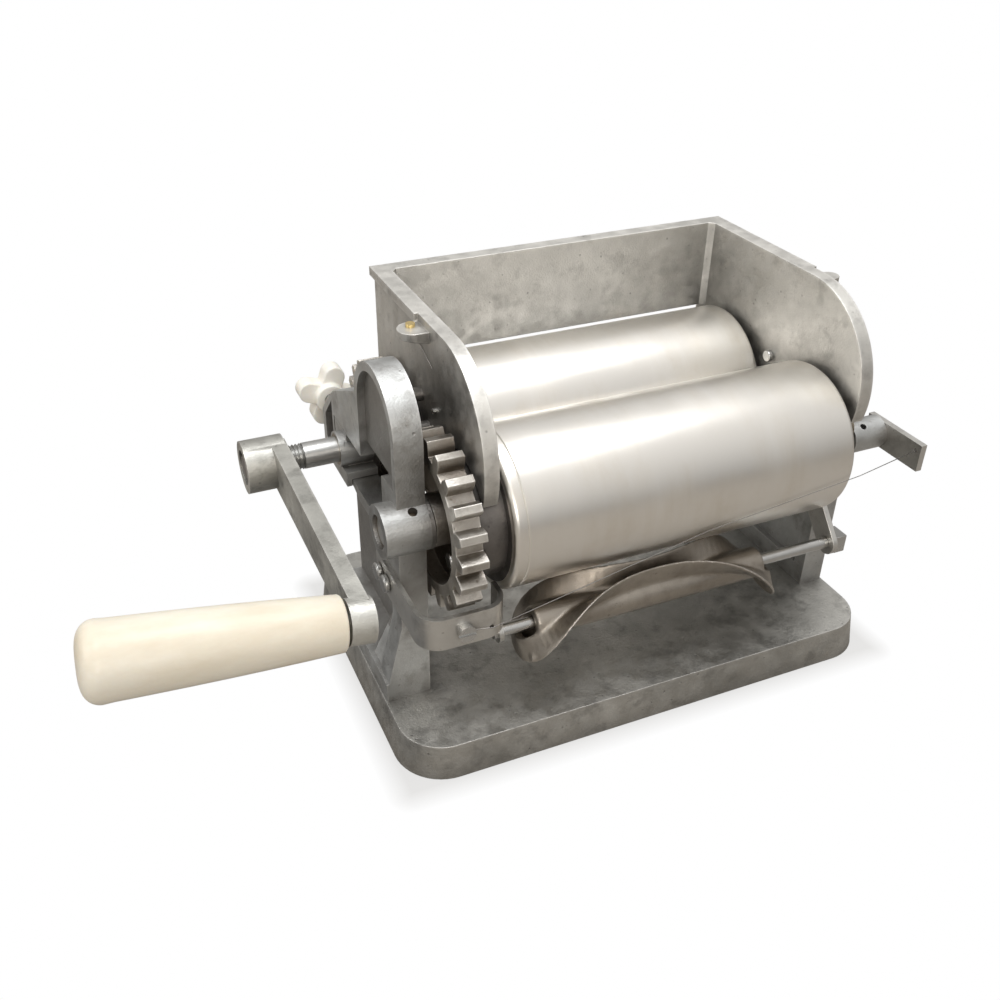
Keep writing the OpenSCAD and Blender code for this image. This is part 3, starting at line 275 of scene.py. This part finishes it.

# Painted shade on sunk faces: the ones that look along -X and lie behind a plane,
# and everything that lies further in than a second plane.
recess_shade, given, result = group(
    "recess_shade",
    [("Plane", NUM, 0.0), ("Inner", NUM, 10.0), ("Amount", NUM, 0.0)],
    [("Mask", NUM)])
place = add(recess_shade, "ShaderNodeTexCoord")
real = add(recess_shade, "ShaderNodeNewGeometry")
along = add(recess_shade, "ShaderNodeSeparateXYZ")
facing = add(recess_shade, "ShaderNodeSeparateXYZ")
outward = remap(recess_shade, facing.outputs["X"], -0.6, -0.95)
behind = add(recess_shade, "ShaderNodeMath", operation="GREATER_THAN")
both = add(recess_shade, "ShaderNodeMath", operation="MULTIPLY")
further = add(recess_shade, "ShaderNodeMath", operation="GREATER_THAN")
either = add(recess_shade, "ShaderNodeMath", operation="MAXIMUM")
total = add(recess_shade, "ShaderNodeMath", operation="MULTIPLY", use_clamp=True)
wire(recess_shade,
     (place.outputs["Object"], along.inputs[0]),
     (real.outputs["Normal"], facing.inputs[0]),
     (along.outputs["X"], behind.inputs[0]),
     (given.outputs["Plane"], behind.inputs[1]),
     (behind.outputs[0], both.inputs[0]),
     (outward, both.inputs[1]),
     (along.outputs["X"], further.inputs[0]),
     (given.outputs["Inner"], further.inputs[1]),
     (both.outputs[0], either.inputs[0]),
     (further.outputs[0], either.inputs[1]),
     (either.outputs[0], total.inputs[0]),
     (given.outputs["Amount"], total.inputs[1]),
     (total.outputs[0], result.inputs[0]))

# Cast skin: broad tone changes, stains, dark specks and the grain that sand leaves.
cast_skin, given, result = group(
    "cast_skin",
    [("Light", RGB, (0.6, 0.6, 0.6, 1)), ("Dark", RGB, (0.4, 0.4, 0.4, 1)),
     ("Stain", RGB, (0.2, 0.2, 0.2, 1)), ("Staining", NUM, 0.4), ("Grain", NUM, 900.0),
     ("Smooth", NUM, 0.35), ("Rough", NUM, 0.55)],
    [("Color", RGB), ("Roughness", NUM), ("Height", NUM)])
place = add(cast_skin, "ShaderNodeTexCoord").outputs["Object"]
tone = remap(cast_skin, noise(cast_skin, place, scale=26, detail=5, rough=0.6), 0.32, 0.68)
base_tone = mix(cast_skin, given.outputs["Light"], given.outputs["Dark"], tone)
patches = remap(cast_skin, noise(cast_skin, place, scale=75, detail=6, rough=0.65), 0.52, 0.72)
blotch = add(cast_skin, "ShaderNodeMath", operation="MULTIPLY", use_clamp=True)
wire(cast_skin, (patches, blotch.inputs[0]), (given.outputs["Staining"], blotch.inputs[1]))
stained = mix(cast_skin, base_tone, given.outputs["Stain"], blotch.outputs[0])
speck = add(cast_skin, "ShaderNodeTexVoronoi", Scale=260.0)
cast_skin.links.new(place, speck.inputs["Vector"])
speck_size = remap(cast_skin, speck.outputs["Distance"], 0.25, 0.1, 0.0, 0.55)
gate = remap(cast_skin, noise(cast_skin, place, scale=190, detail=2), 0.58, 0.64)
dots = add(cast_skin, "ShaderNodeMath", operation="MULTIPLY", use_clamp=True)
wire(cast_skin, (speck_size, dots.inputs[0]), (gate, dots.inputs[1]))
speckled = mix(cast_skin, stained, given.outputs["Stain"], dots.outputs[0])
grain = add(cast_skin, "ShaderNodeTexNoise", Detail=3.0, Roughness=0.6)
relief = add(cast_skin, "ShaderNodeMath", operation="SUBTRACT")
polish = noise(cast_skin, place, scale=120, detail=4)
shine = add(cast_skin, "ShaderNodeMapRange", From_Min=0.35, From_Max=0.65)
wire(cast_skin,
     (place, grain.inputs["Vector"]),
     (given.outputs["Grain"], grain.inputs["Scale"]),
     (grain.outputs["Fac"], relief.inputs[0]),
     (dots.outputs[0], relief.inputs[1]),
     (polish, shine.inputs["Value"]),
     (given.outputs["Smooth"], shine.inputs["To Min"]),
     (given.outputs["Rough"], shine.inputs["To Max"]),
     (speckled, result.inputs["Color"]),
     (shine.outputs[0], result.inputs["Roughness"]),
     (relief.outputs[0], result.inputs["Height"]))


def cast_metal(name, light, dark, stain, staining, smooth, rough, relief, worn, edge, wear,
               grain=900.0, shade_and_dirt=0.75, reach=0.02, recess_shading=0.0, plane=0.0, inner=10.0):
    """A cast metal: its skin, its worn edges, painted shade on its sunk faces and painted shade with some
    dirt in its corners.
    """
    material = bpy.data.materials.new(name)
    tree = nodes_of(material)
    skin = add(tree, "ShaderNodeGroup", node_tree=cast_skin, Light=(*light, 1), Dark=(*dark, 1),
               Stain=(*stain, 1), Staining=staining, Smooth=smooth, Rough=rough, Grain=grain)
    mask = add(tree, "ShaderNodeGroup", node_tree=edge_wear, Width=edge, Amount=wear)
    # Painted shade: sunk faces and corners are darkened towards the stain colour, and the corners carry
    # some grime too.
    corner_shade_and_grime = add(tree, "ShaderNodeGroup", node_tree=shade_and_grime, Reach=reach, Amount=shade_and_dirt)
    recess_shade_mask = add(tree, "ShaderNodeGroup", node_tree=recess_shade, Plane=plane, Inner=inner, Amount=recess_shading)
    worn_skin = mix(tree, skin.outputs["Color"], (*worn, 1), mask.outputs["Mask"])
    recess_shaded_skin = mix(tree, worn_skin, (*stain, 1), recess_shade_mask.outputs["Mask"])
    shaded_dirty_skin = mix(tree, recess_shaded_skin, (*stain, 1), corner_shade_and_grime.outputs["Mask"])
    shader = add(tree, "ShaderNodeBsdfPrincipled", Metallic=1.0)
    bump = add(tree, "ShaderNodeBump", Strength=0.5, Distance=relief)
    out = add(tree, "ShaderNodeOutputMaterial")
    wire(tree,
         (shaded_dirty_skin, shader.inputs["Base Color"]),
         (skin.outputs["Roughness"], shader.inputs["Roughness"]),
         (skin.outputs["Height"], bump.inputs["Height"]),
         (bump.outputs[0], shader.inputs["Normal"]),
         (shader.outputs[0], out.inputs[0]))
    return material


cad = frame["nodes"]
record = frame["record"]
body_of = {node: body for body, nodes in record["behaviour"]["bodies"].items() for node in nodes}
SAME_CORNER = 2e-6
FLAT_ANGLE = 0.6
EDGE_ANGLE = 32.0


def from_cad(name, *sources, flat=FLAT_ANGLE):
    """A piece shaped as one or more CAD nodes, their loose triangles merged into clean faces."""
    bm = bmesh.new()
    for node in sources:
        bm.from_mesh(cad[node].data)
    bmesh.ops.remove_doubles(bm, verts=bm.verts, dist=SAME_CORNER)
    if flat:
        bmesh.ops.dissolve_limit(bm, angle_limit=math.radians(flat), verts=bm.verts, edges=bm.edges)
    return piece_from(bm, name)


def piece_from(bm, name):
    """A new object from a finished bmesh."""
    mesh = bpy.data.meshes.new(name)
    bm.to_mesh(mesh)
    bm.free()
    piece = bpy.data.objects.new(name, mesh)
    bpy.context.scene.collection.objects.link(piece)
    return piece


def smooth(piece, angle=40.0):
    """Smooth shading, apart from edges sharper than an angle."""
    piece.data.shade_smooth()
    piece.data.set_sharp_from_angle(angle=math.radians(angle))


def round_edges(piece, radius, steps):
    """Rounds the edges with real faces."""
    bevel = piece.modifiers.new("round_edges", "BEVEL")
    bevel.width = radius
    bevel.segments = steps
    bevel.limit_method = "ANGLE"
    bevel.angle_limit = math.radians(EDGE_ANGLE)
    bevel.use_clamp_overlap = True
    even = piece.modifiers.new("even_shading", "WEIGHTED_NORMAL")
    even.keep_sharp = True
    even.weight = 80


def settle(piece, material, *nodes, body=None, slot=None):
    """Gives a piece its finish, its body and the nodes that it stands for."""
    piece.data.materials.clear()
    piece.data.materials.append(material)
    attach(piece, body or body_of[nodes[0]])
    if nodes:
        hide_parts(*nodes)


def finish_nodes(material, *nodes):
    """A CAD node keeps its shape and gets its finish."""
    for node in nodes:
        cad[node].data.materials.clear()
        cad[node].data.materials.append(material)
        smooth(cad[node])


def rounded_copy(name, material, node, radius, steps=3):
    """A node's shape with rounded edges, in place of the node."""
    piece = from_cad(name, node)
    smooth(piece)
    round_edges(piece, radius, steps)
    settle(piece, material, node)


base_metal = cast_metal(
    "base_metal", light=(0.61, 0.60, 0.57), dark=(0.40, 0.395, 0.375), stain=(0.12, 0.115, 0.11),
    staining=0.5, smooth=0.42, rough=0.62, relief=0.0006, worn=(0.62, 0.61, 0.59), edge=0.0035, wear=0.8,
    grain=520.0)
rounded_copy("base", base_metal, "base_plate", radius=0.0028, steps=4)


# Frames
# Two upright aluminium castings carry the shafts, their faces ground bright after casting.
# Their hollows, and the left one's inner side, are painted dark as shade, and painted shade
# with some grease darkens the corners.
frame_skin = dict(
    light=(0.64, 0.65, 0.645), dark=(0.43, 0.435, 0.43), stain=(0.25, 0.235, 0.22), staining=0.6,
    smooth=0.38, rough=0.58, relief=0.0004, worn=(0.80, 0.80, 0.79), edge=0.002, wear=0.6)
# Painted shade on the left casting: faces behind the first plane and everything inward of the second.
LEFT_HOLLOW_X = -0.1362
LEFT_INSIDE_X = -0.1224
frame_metal = cast_metal("frame_metal", **frame_skin)
recess_shaded_frame_metal = cast_metal(
    "recess_shaded_frame_metal", **frame_skin, recess_shading=0.7, plane=LEFT_HOLLOW_X, inner=LEFT_INSIDE_X, shade_and_dirt=0.95,
    reach=0.035)
for side, metal in (("left", recess_shaded_frame_metal), ("right", frame_metal)):
    rounded_copy(side + "_casting", metal, side + "_frame", radius=0.0012)
    rounded_copy(side + "_block", frame_metal, "bearing_block_" + side, radius=0.0006, steps=2)

# The shafts run in plain bushes of oiled bronze, pressed into the castings.
bronze = cast_metal(
    "bronze", light=(0.40, 0.35, 0.28), dark=(0.28, 0.24, 0.19), stain=(0.12, 0.10, 0.08), staining=0.5,
    smooth=0.3, rough=0.45, relief=0.0001, worn=(0.6, 0.55, 0.46), edge=0.0008, wear=0.5)
finish_nodes(bronze, "front_bushes", "rear_bushes")


# Hopper
# The hopper is one thin aluminium casting, matt and stained, darkened inside by painted
# shade with some grime, and ground bright along its rim. Screws hold its two cheeks to the
# frames, above the rollers.
hopper_metal = cast_metal(
    "hopper_metal", light=(0.80, 0.785, 0.75), dark=(0.62, 0.61, 0.58), stain=(0.22, 0.215, 0.205),
    staining=0.4, smooth=0.42, rough=0.6, relief=0.0003, worn=(0.92, 0.91, 0.88), edge=0.003, wear=0.9,
    reach=0.07, shade_and_dirt=0.8)
rounded_copy("hopper_casting", hopper_metal, "hopper", radius=0.0012)


# Rollers
# The rollers are aluminium tubes turned on a lathe and polished, so fine rings run
# round them. Their heads and collars are painted dark, as painted shade at the rollers' ends.
roller_low, roller_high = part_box("front_roller")
MID_X = (roller_low.x + roller_high.x) / 2
HALF = (roller_high.x - roller_low.x) / 2
ROLLER_R = (roller_high.z - roller_low.z) / 2
AXIS_Z = (roller_low.z + roller_high.z) / 2
FRONT_Y = (roller_low.y + roller_high.y) / 2
REAR_Y = -FRONT_Y
SAME_POLE = 1e-7


def lathe(profile, steps):
    """A shape spun round the X axis from a row of (x, radius) points."""
    bm = bmesh.new()
    verts = [bm.verts.new((x, 0, r)) for x, r in profile]
    edges = [bm.edges.new(pair) for pair in zip(verts, verts[1:])]
    bmesh.ops.spin(bm, geom=verts + edges, cent=(0, 0, 0), axis=(1, 0, 0), angle=math.tau, steps=steps,
                   use_merge=True)
    bmesh.ops.remove_doubles(bm, verts=bm.verts, dist=SAME_POLE)
    bmesh.ops.recalc_face_normals(bm, faces=bm.faces)
    return bm


def arc(x, r, radius, start, end, steps=6):
    """Points on an arc for a lathe profile; angles run from +X towards the outside."""
    angles = [math.radians(start + (end - start) * i / steps) for i in range(steps + 1)]
    return [(x + radius * math.cos(a), r + radius * math.sin(a)) for a in angles]


EDGE_R = 0.003
INNER_R = 0.03915
GROOVE_IN = 0.0075
GROOVE_X = -HALF + GROOVE_IN
GROOVE_W = 0.0006
GROOVE_D = 0.0004
left_edge = arc(-HALF + EDGE_R, ROLLER_R - EDGE_R, EDGE_R, start=180, end=90)
groove = [(GROOVE_X - GROOVE_W, ROLLER_R), (GROOVE_X, ROLLER_R - GROOVE_D),
          (GROOVE_X + GROOVE_W, ROLLER_R)]
right_edge = arc(HALF - EDGE_R, ROLLER_R - EDGE_R, EDGE_R, start=90, end=0)
tube_profile = (
    [(-HALF, INNER_R), (-HALF, ROLLER_R - EDGE_R)] + left_edge + groove + right_edge
    + [(HALF, INNER_R), (-HALF, INNER_R)])

# Turned metal: rings that run round the X axis, over smudges left by hands and dough.
turned, given, result = group(
    "turned",
    [("Light", RGB, (0.8, 0.8, 0.8, 1)), ("Dark", RGB, (0.6, 0.6, 0.6, 1)), ("Lines", NUM, 1400.0),
     ("Smooth", NUM, 0.25), ("Rough", NUM, 0.4)],
    [("Color", RGB), ("Roughness", NUM), ("Height", NUM)])
place = add(turned, "ShaderNodeTexCoord").outputs["Object"]
fine = add(turned, "ShaderNodeTexNoise", Detail=2.0)
rings = add(turned, "ShaderNodeMapping")
rings.inputs["Scale"].default_value = (1.0, 0.02, 0.02)
bands = noise(turned, place, scale=60, detail=4, rough=0.6, stretch=(1.0, 0.12, 0.12))
broad = remap(turned, bands, 0.3, 0.7)
smudge = remap(turned, noise(turned, place, scale=30, detail=5, rough=0.6), 0.4, 0.7)
shine = add(turned, "ShaderNodeMapRange")
both = add(turned, "ShaderNodeMath", operation="MULTIPLY")
tone = mix(turned, given.outputs["Light"], given.outputs["Dark"], both.outputs[0])
wire(turned,
     (place, rings.inputs[0]),
     (rings.outputs[0], fine.inputs["Vector"]),
     (given.outputs["Lines"], fine.inputs["Scale"]),
     (broad, both.inputs[0]),
     (smudge, both.inputs[1]),
     (tone, result.inputs["Color"]),
     (smudge, shine.inputs["Value"]),
     (given.outputs["Smooth"], shine.inputs["To Min"]),
     (given.outputs["Rough"], shine.inputs["To Max"]),
     (shine.outputs[0], result.inputs["Roughness"]),
     (fine.outputs["Fac"], result.inputs["Height"]))


def turned_metal(name, light, dark, smooth, rough, relief, lines):
    """A metal that a lathe has turned round the X axis."""
    material = bpy.data.materials.new(name)
    tree = nodes_of(material)
    skin = add(tree, "ShaderNodeGroup", node_tree=turned, Light=(*light, 1), Dark=(*dark, 1), Lines=lines,
               Smooth=smooth, Rough=rough)
    shader = add(tree, "ShaderNodeBsdfPrincipled", Metallic=1.0)
    bump = add(tree, "ShaderNodeBump", Strength=0.6, Distance=relief)
    out = add(tree, "ShaderNodeOutputMaterial")
    wire(tree,
         (skin.outputs["Color"], shader.inputs["Base Color"]),
         (skin.outputs["Roughness"], shader.inputs["Roughness"]),
         (skin.outputs["Height"], bump.inputs["Height"]),
         (bump.outputs[0], shader.inputs["Normal"]),
         (shader.outputs[0], out.inputs[0]))
    return material


roller_metal = turned_metal(
    "roller_metal", light=(0.96, 0.935, 0.89), dark=(0.82, 0.77, 0.69), smooth=0.28, rough=0.4,
    relief=0.000008, lines=420.0)
for name, y in (("front_roller", FRONT_Y), ("rear_roller", REAR_Y)):
    bm = lathe(tube_profile, steps=192)
    bmesh.ops.translate(bm, verts=bm.verts, vec=(MID_X, y, AXIS_Z))
    tube = piece_from(bm, name + "_tube")
    smooth(tube, angle=30)
    settle(tube, roller_metal, name)

# A dark metal that stands for shade: painted shade on the roller heads and the crank's hub nut.
shade_dark_metal = cast_metal(
    "shade_dark_metal", light=(0.32, 0.30, 0.285), dark=(0.21, 0.195, 0.185), stain=(0.05, 0.048, 0.045),
    staining=0.5, smooth=0.35, rough=0.55, relief=0.0002, worn=(0.35, 0.34, 0.33), edge=0.001, wear=0.5)
finish_nodes(shade_dark_metal, "front_roller_heads", "rear_roller_heads")


# Gears
# The gears are cast and then cut. Grease and flour have stained them brown, painted shade
# darkens their recessed web and the gaps between the teeth, and the tips are rubbed bright.
GEAR_WEB_X = -0.1185
gear_metal = cast_metal(
    "gear_metal", light=(0.66, 0.64, 0.60), dark=(0.42, 0.39, 0.355), stain=(0.17, 0.14, 0.11),
    staining=0.8, smooth=0.34, rough=0.52, relief=0.0003, worn=(0.84, 0.82, 0.78), edge=0.0016, wear=0.9,
    recess_shading=0.85, plane=GEAR_WEB_X, shade_and_dirt=0.85)
for name in ("front_gear", "rear_gear"):
    rounded_copy(name + "_teeth", gear_metal, name, radius=0.0004, steps=2)


# Shafts
# The shafts, the knobs' screws, the cutter's rod and the handle's pin are ground bright
# steel. Only the crank's end of the rear shaft is threaded, for its nut.
bright_steel = turned_metal(
    "bright_steel", light=(0.62, 0.62, 0.61), dark=(0.42, 0.42, 0.41), smooth=0.24, rough=0.4,
    relief=0.00003, lines=900.0)
finish_nodes(bright_steel, "front_shaft", "rear_shaft", "adjust_screw_left", "adjust_screw_right",
             "cutter_rod", "handle_pin")


# Crank
# The crank is an aluminium casting, ground on its faces. A nut sunk in its hub holds it
# on the rear shaft.
crank_metal = cast_metal(
    "crank_metal", light=(0.68, 0.675, 0.635), dark=(0.47, 0.465, 0.435), stain=(0.20, 0.195, 0.18),
    staining=0.6, smooth=0.42, rough=0.58, relief=0.0003, worn=(0.74, 0.73, 0.70), edge=0.0022, wear=0.8)
rounded_copy("crank", crank_metal, "crank_arm", radius=0.0013)
# The hub's nut is painted dark, as painted shade in the hub's recess.
rounded_copy("crank_hub_nut", shade_dark_metal, "crank_nut", radius=0.0005, steps=2)


# Grip and knobs
# The grip is turned from cream plastic, has a low domed end and spins on the handle's
# pin. The four-lobed knobs are moulded in a whiter plastic round their screws.
cream_skin, given, result = group(
    "cream_skin",
    [("Fresh", RGB, (0.8, 0.76, 0.62, 1)), ("Aged", RGB, (0.7, 0.6, 0.45, 1))],
    [("Color", RGB), ("Roughness", NUM), ("Height", NUM)])
place = add(cream_skin, "ShaderNodeTexCoord").outputs["Object"]
long_marks = noise(cream_skin, place, scale=55, detail=5, rough=0.6, stretch=(0.35, 1.0, 1.0))
streak = remap(cream_skin, long_marks, 0.35, 0.75)
tone = mix(cream_skin, given.outputs["Fresh"], given.outputs["Aged"], streak)
gloss = remap(cream_skin, noise(cream_skin, place, scale=140, detail=3), 0.3, 0.7, 0.28, 0.42)
ripple = noise(cream_skin, place, scale=320, detail=3)
wire(cream_skin,
     (tone, result.inputs["Color"]),
     (gloss, result.inputs["Roughness"]),
     (ripple, result.inputs["Height"]))


def moulded_plastic(name, fresh, aged):
    """A glossy moulded plastic, a little yellowed with use."""
    material = bpy.data.materials.new(name)
    tree = nodes_of(material)
    skin = add(tree, "ShaderNodeGroup", node_tree=cream_skin, Fresh=(*fresh, 1), Aged=(*aged, 1))
    shader = add(tree, "ShaderNodeBsdfPrincipled", Metallic=0.0)
    shader.inputs["Subsurface Weight"].default_value = 0.12
    shader.inputs["Subsurface Radius"].default_value = (0.004, 0.003, 0.002)
    shader.inputs["Subsurface Scale"].default_value = 1.0
    bump = add(tree, "ShaderNodeBump", Strength=0.25, Distance=0.0004)
    out = add(tree, "ShaderNodeOutputMaterial")
    wire(tree,
         (skin.outputs["Color"], shader.inputs["Base Color"]),
         (skin.outputs["Roughness"], shader.inputs["Roughness"]),
         (skin.outputs["Height"], bump.inputs["Height"]),
         (bump.outputs[0], shader.inputs["Normal"]),
         (shader.outputs[0], out.inputs[0]))
    return material


cream_plastic = moulded_plastic("cream_plastic", fresh=(0.86, 0.81, 0.70), aged=(0.74, 0.66, 0.52))
white_plastic = moulded_plastic("white_plastic", fresh=(0.95, 0.93, 0.87), aged=(0.86, 0.82, 0.73))

CRANK_REACH = 0.152
EYE_OUT = 0.190
EYE = Vector((MID_X - EYE_OUT, REAR_Y - CRANK_REACH, AXIS_Z))
GRIP_LEAN = math.radians(7)
GRIP_FROM = 0.0077
GRIP_LEN = 0.1123
GRIP_IN_R = 0.0132
GRIP_OUT_R = 0.01775
GRIP_EDGE_R = 0.0012
GRIP_SWELL = 0.12
SIDE_SHARES = (0.15, 0.3, 0.45, 0.6, 0.75, 0.88)
BORE_R = 0.0048
BORE_DEPTH = 0.004
DOME_H = 0.009
DOME_FILL = 0.98
DOME_SQUARE = 0.55
DOME_STEPS = 14
POLE_SUNK = 0.0001
grip_end = GRIP_FROM + GRIP_LEN
dome_start = grip_end - DOME_H
dome_angles = [math.radians(90) * i / DOME_STEPS for i in range(1, DOME_STEPS)]
dome = [(dome_start + DOME_H * math.sin(a) * DOME_FILL, GRIP_OUT_R * math.cos(a) ** DOME_SQUARE)
        for a in dome_angles]
bore = [(GRIP_FROM + BORE_DEPTH, BORE_R), (GRIP_FROM, BORE_R)]
near_edge = arc(GRIP_FROM + GRIP_EDGE_R, GRIP_IN_R - GRIP_EDGE_R, GRIP_EDGE_R, start=180, end=100, steps=4)
taper = GRIP_OUT_R - GRIP_IN_R
side_line = [(GRIP_FROM + GRIP_LEN * s, GRIP_IN_R + taper * (s + GRIP_SWELL * math.sin(math.pi * s)))
             for s in SIDE_SHARES]
grip_profile = (
    bore + [(GRIP_FROM, GRIP_IN_R - GRIP_EDGE_R)] + near_edge + side_line + [(dome_start, GRIP_OUT_R)]
    + dome + [(grip_end - POLE_SUNK, 0.0)])
bm = lathe(grip_profile, steps=96)
bmesh.ops.holes_fill(bm, edges=[e for e in bm.edges if e.is_boundary], sides=0)
bmesh.ops.recalc_face_normals(bm, faces=bm.faces)
turn = Matrix.Rotation(math.pi + GRIP_LEAN, 4, "Y")
bmesh.ops.transform(bm, matrix=Matrix.Translation(EYE) @ turn, verts=bm.verts)
grip = piece_from(bm, "grip")
smooth(grip, angle=35)
settle(grip, cream_plastic, "handle_grip")


def melt(piece, fineness, passes):
    """Runs a piece's shapes into one another in soft curves, as a mould does."""
    dense = piece.modifiers.new("fine_faces", "REMESH")
    dense.mode = "VOXEL"
    dense.voxel_size = fineness
    soft = piece.modifiers.new("soft_edges", "SMOOTH")
    soft.factor = 0.5
    soft.iterations = passes
    smooth(piece, angle=80)


for side in ("left", "right"):
    knob = from_cad("knob_" + side, "adjust_knob_" + side)
    melt(knob, fineness=0.0005, passes=4)
    settle(knob, white_plastic, "adjust_knob_" + side)


# Cutter
# The cutter is one aluminium casting: a knife loop that winds round its drum. The
# blade's foot runs into the drum in a soft curve, and its edge is ground bright.
cutter_metal = cast_metal(
    "cutter_metal", light=(0.47, 0.43, 0.38), dark=(0.32, 0.29, 0.255), stain=(0.2, 0.17, 0.14),
    staining=0.4, smooth=0.34, rough=0.5, relief=0.0002, worn=(0.85, 0.83, 0.8), edge=0.0012, wear=0.7)
cutter = from_cad("cutter_casting", "cutter_knife", "cutter_drum", flat=0)
melt(cutter, fineness=0.0007, passes=30)
settle(cutter, cutter_metal, "cutter_drum", "cutter_knife")


# Strap, hanger and wires
# A flat steel bar bent round the gear, and a lever at the other end, carry the cutter's
# rod. A taut wire strips the tortilla off the roller.
strap_metal = cast_metal(
    "strap_metal", light=(0.74, 0.73, 0.70), dark=(0.60, 0.59, 0.565), stain=(0.24, 0.22, 0.20),
    staining=0.35, smooth=0.3, rough=0.45, relief=0.0001, worn=(0.7, 0.69, 0.67), edge=0.0008, wear=0.8)
rounded_copy("strap", strap_metal, "cutter_strap", radius=0.0003, steps=2)
rounded_copy("hanger", strap_metal, "cutter_hanger", radius=0.0003, steps=2)
rounded_copy("wire_bar", strap_metal, "wire_arm", radius=0.0004, steps=2)
rounded_copy("rod_nut", bright_steel, "cutter_nut", radius=0.0005, steps=2)

# The two wires are steel, grey with age, and thinner than their nodes, so each copy is
# drawn in towards its middle line.
WIRE_SLACK = 0.00017
wire_steel = turned_metal(
    "wire_steel", light=(0.42, 0.41, 0.40), dark=(0.26, 0.25, 0.24), smooth=0.3, rough=0.45,
    relief=0.00001, lines=900.0)
for name in ("stripper_wire", "ear_wire"):
    strand = from_cad(name + "_strand", name, flat=0)
    normals = [v.normal.copy() for v in strand.data.vertices]
    for vertex, normal in zip(strand.data.vertices, normals):
        vertex.co -= normal * WIRE_SLACK
    smooth(strand, angle=60)
    settle(strand, wire_steel, name)


# Screws
# The screws are bright zinc with rounded heads, driven into the castings. A single brass
# screw sits in the hopper's left ear.
brass = turned_metal(
    "brass", light=(0.85, 0.66, 0.30), dark=(0.70, 0.52, 0.22), smooth=0.2, rough=0.35,
    relief=0.00003, lines=900.0)
head_rounding = {
    "front_gear_screws": 0.0011, "rear_gear_screws": 0.0011, "strap_screws": 0.0016,
    "hanger_screws": 0.001, "wire_arm_screw": 0.0016, "hopper_screws": 0.0014}
for name, radius in head_rounding.items():
    rounded_copy(name + "_heads", bright_steel, name, radius=radius, steps=4)
finish_nodes(bright_steel, "wire_screw", "frame_bolts")
finish_nodes(brass, "brass_screws")

# The end of a small screw shows on the outside of the hopper's left cheek.
TIP_R = 0.0016
TIP_LEN = 0.002
TIP_FACE = 0.7
TIP_BEVEL_FROM = 0.8
CHEEK_OUT_X = -0.115
TIP_Y = -0.0118
TIP_UP = 0.044
tip_profile = [(-TIP_LEN, 0.0), (-TIP_LEN, TIP_R * TIP_FACE), (-TIP_LEN * TIP_BEVEL_FROM, TIP_R),
               (TIP_LEN, TIP_R), (TIP_LEN, 0.0)]
tip = lathe(tip_profile, steps=24)
bmesh.ops.translate(tip, verts=tip.verts, vec=(MID_X + CHEEK_OUT_X, TIP_Y, AXIS_Z + TIP_UP))
screw_tip = piece_from(tip, "cheek_screw_tip")
smooth(screw_tip, angle=30)
settle(screw_tip, bright_steel, body="frame", slot="bright_steel")
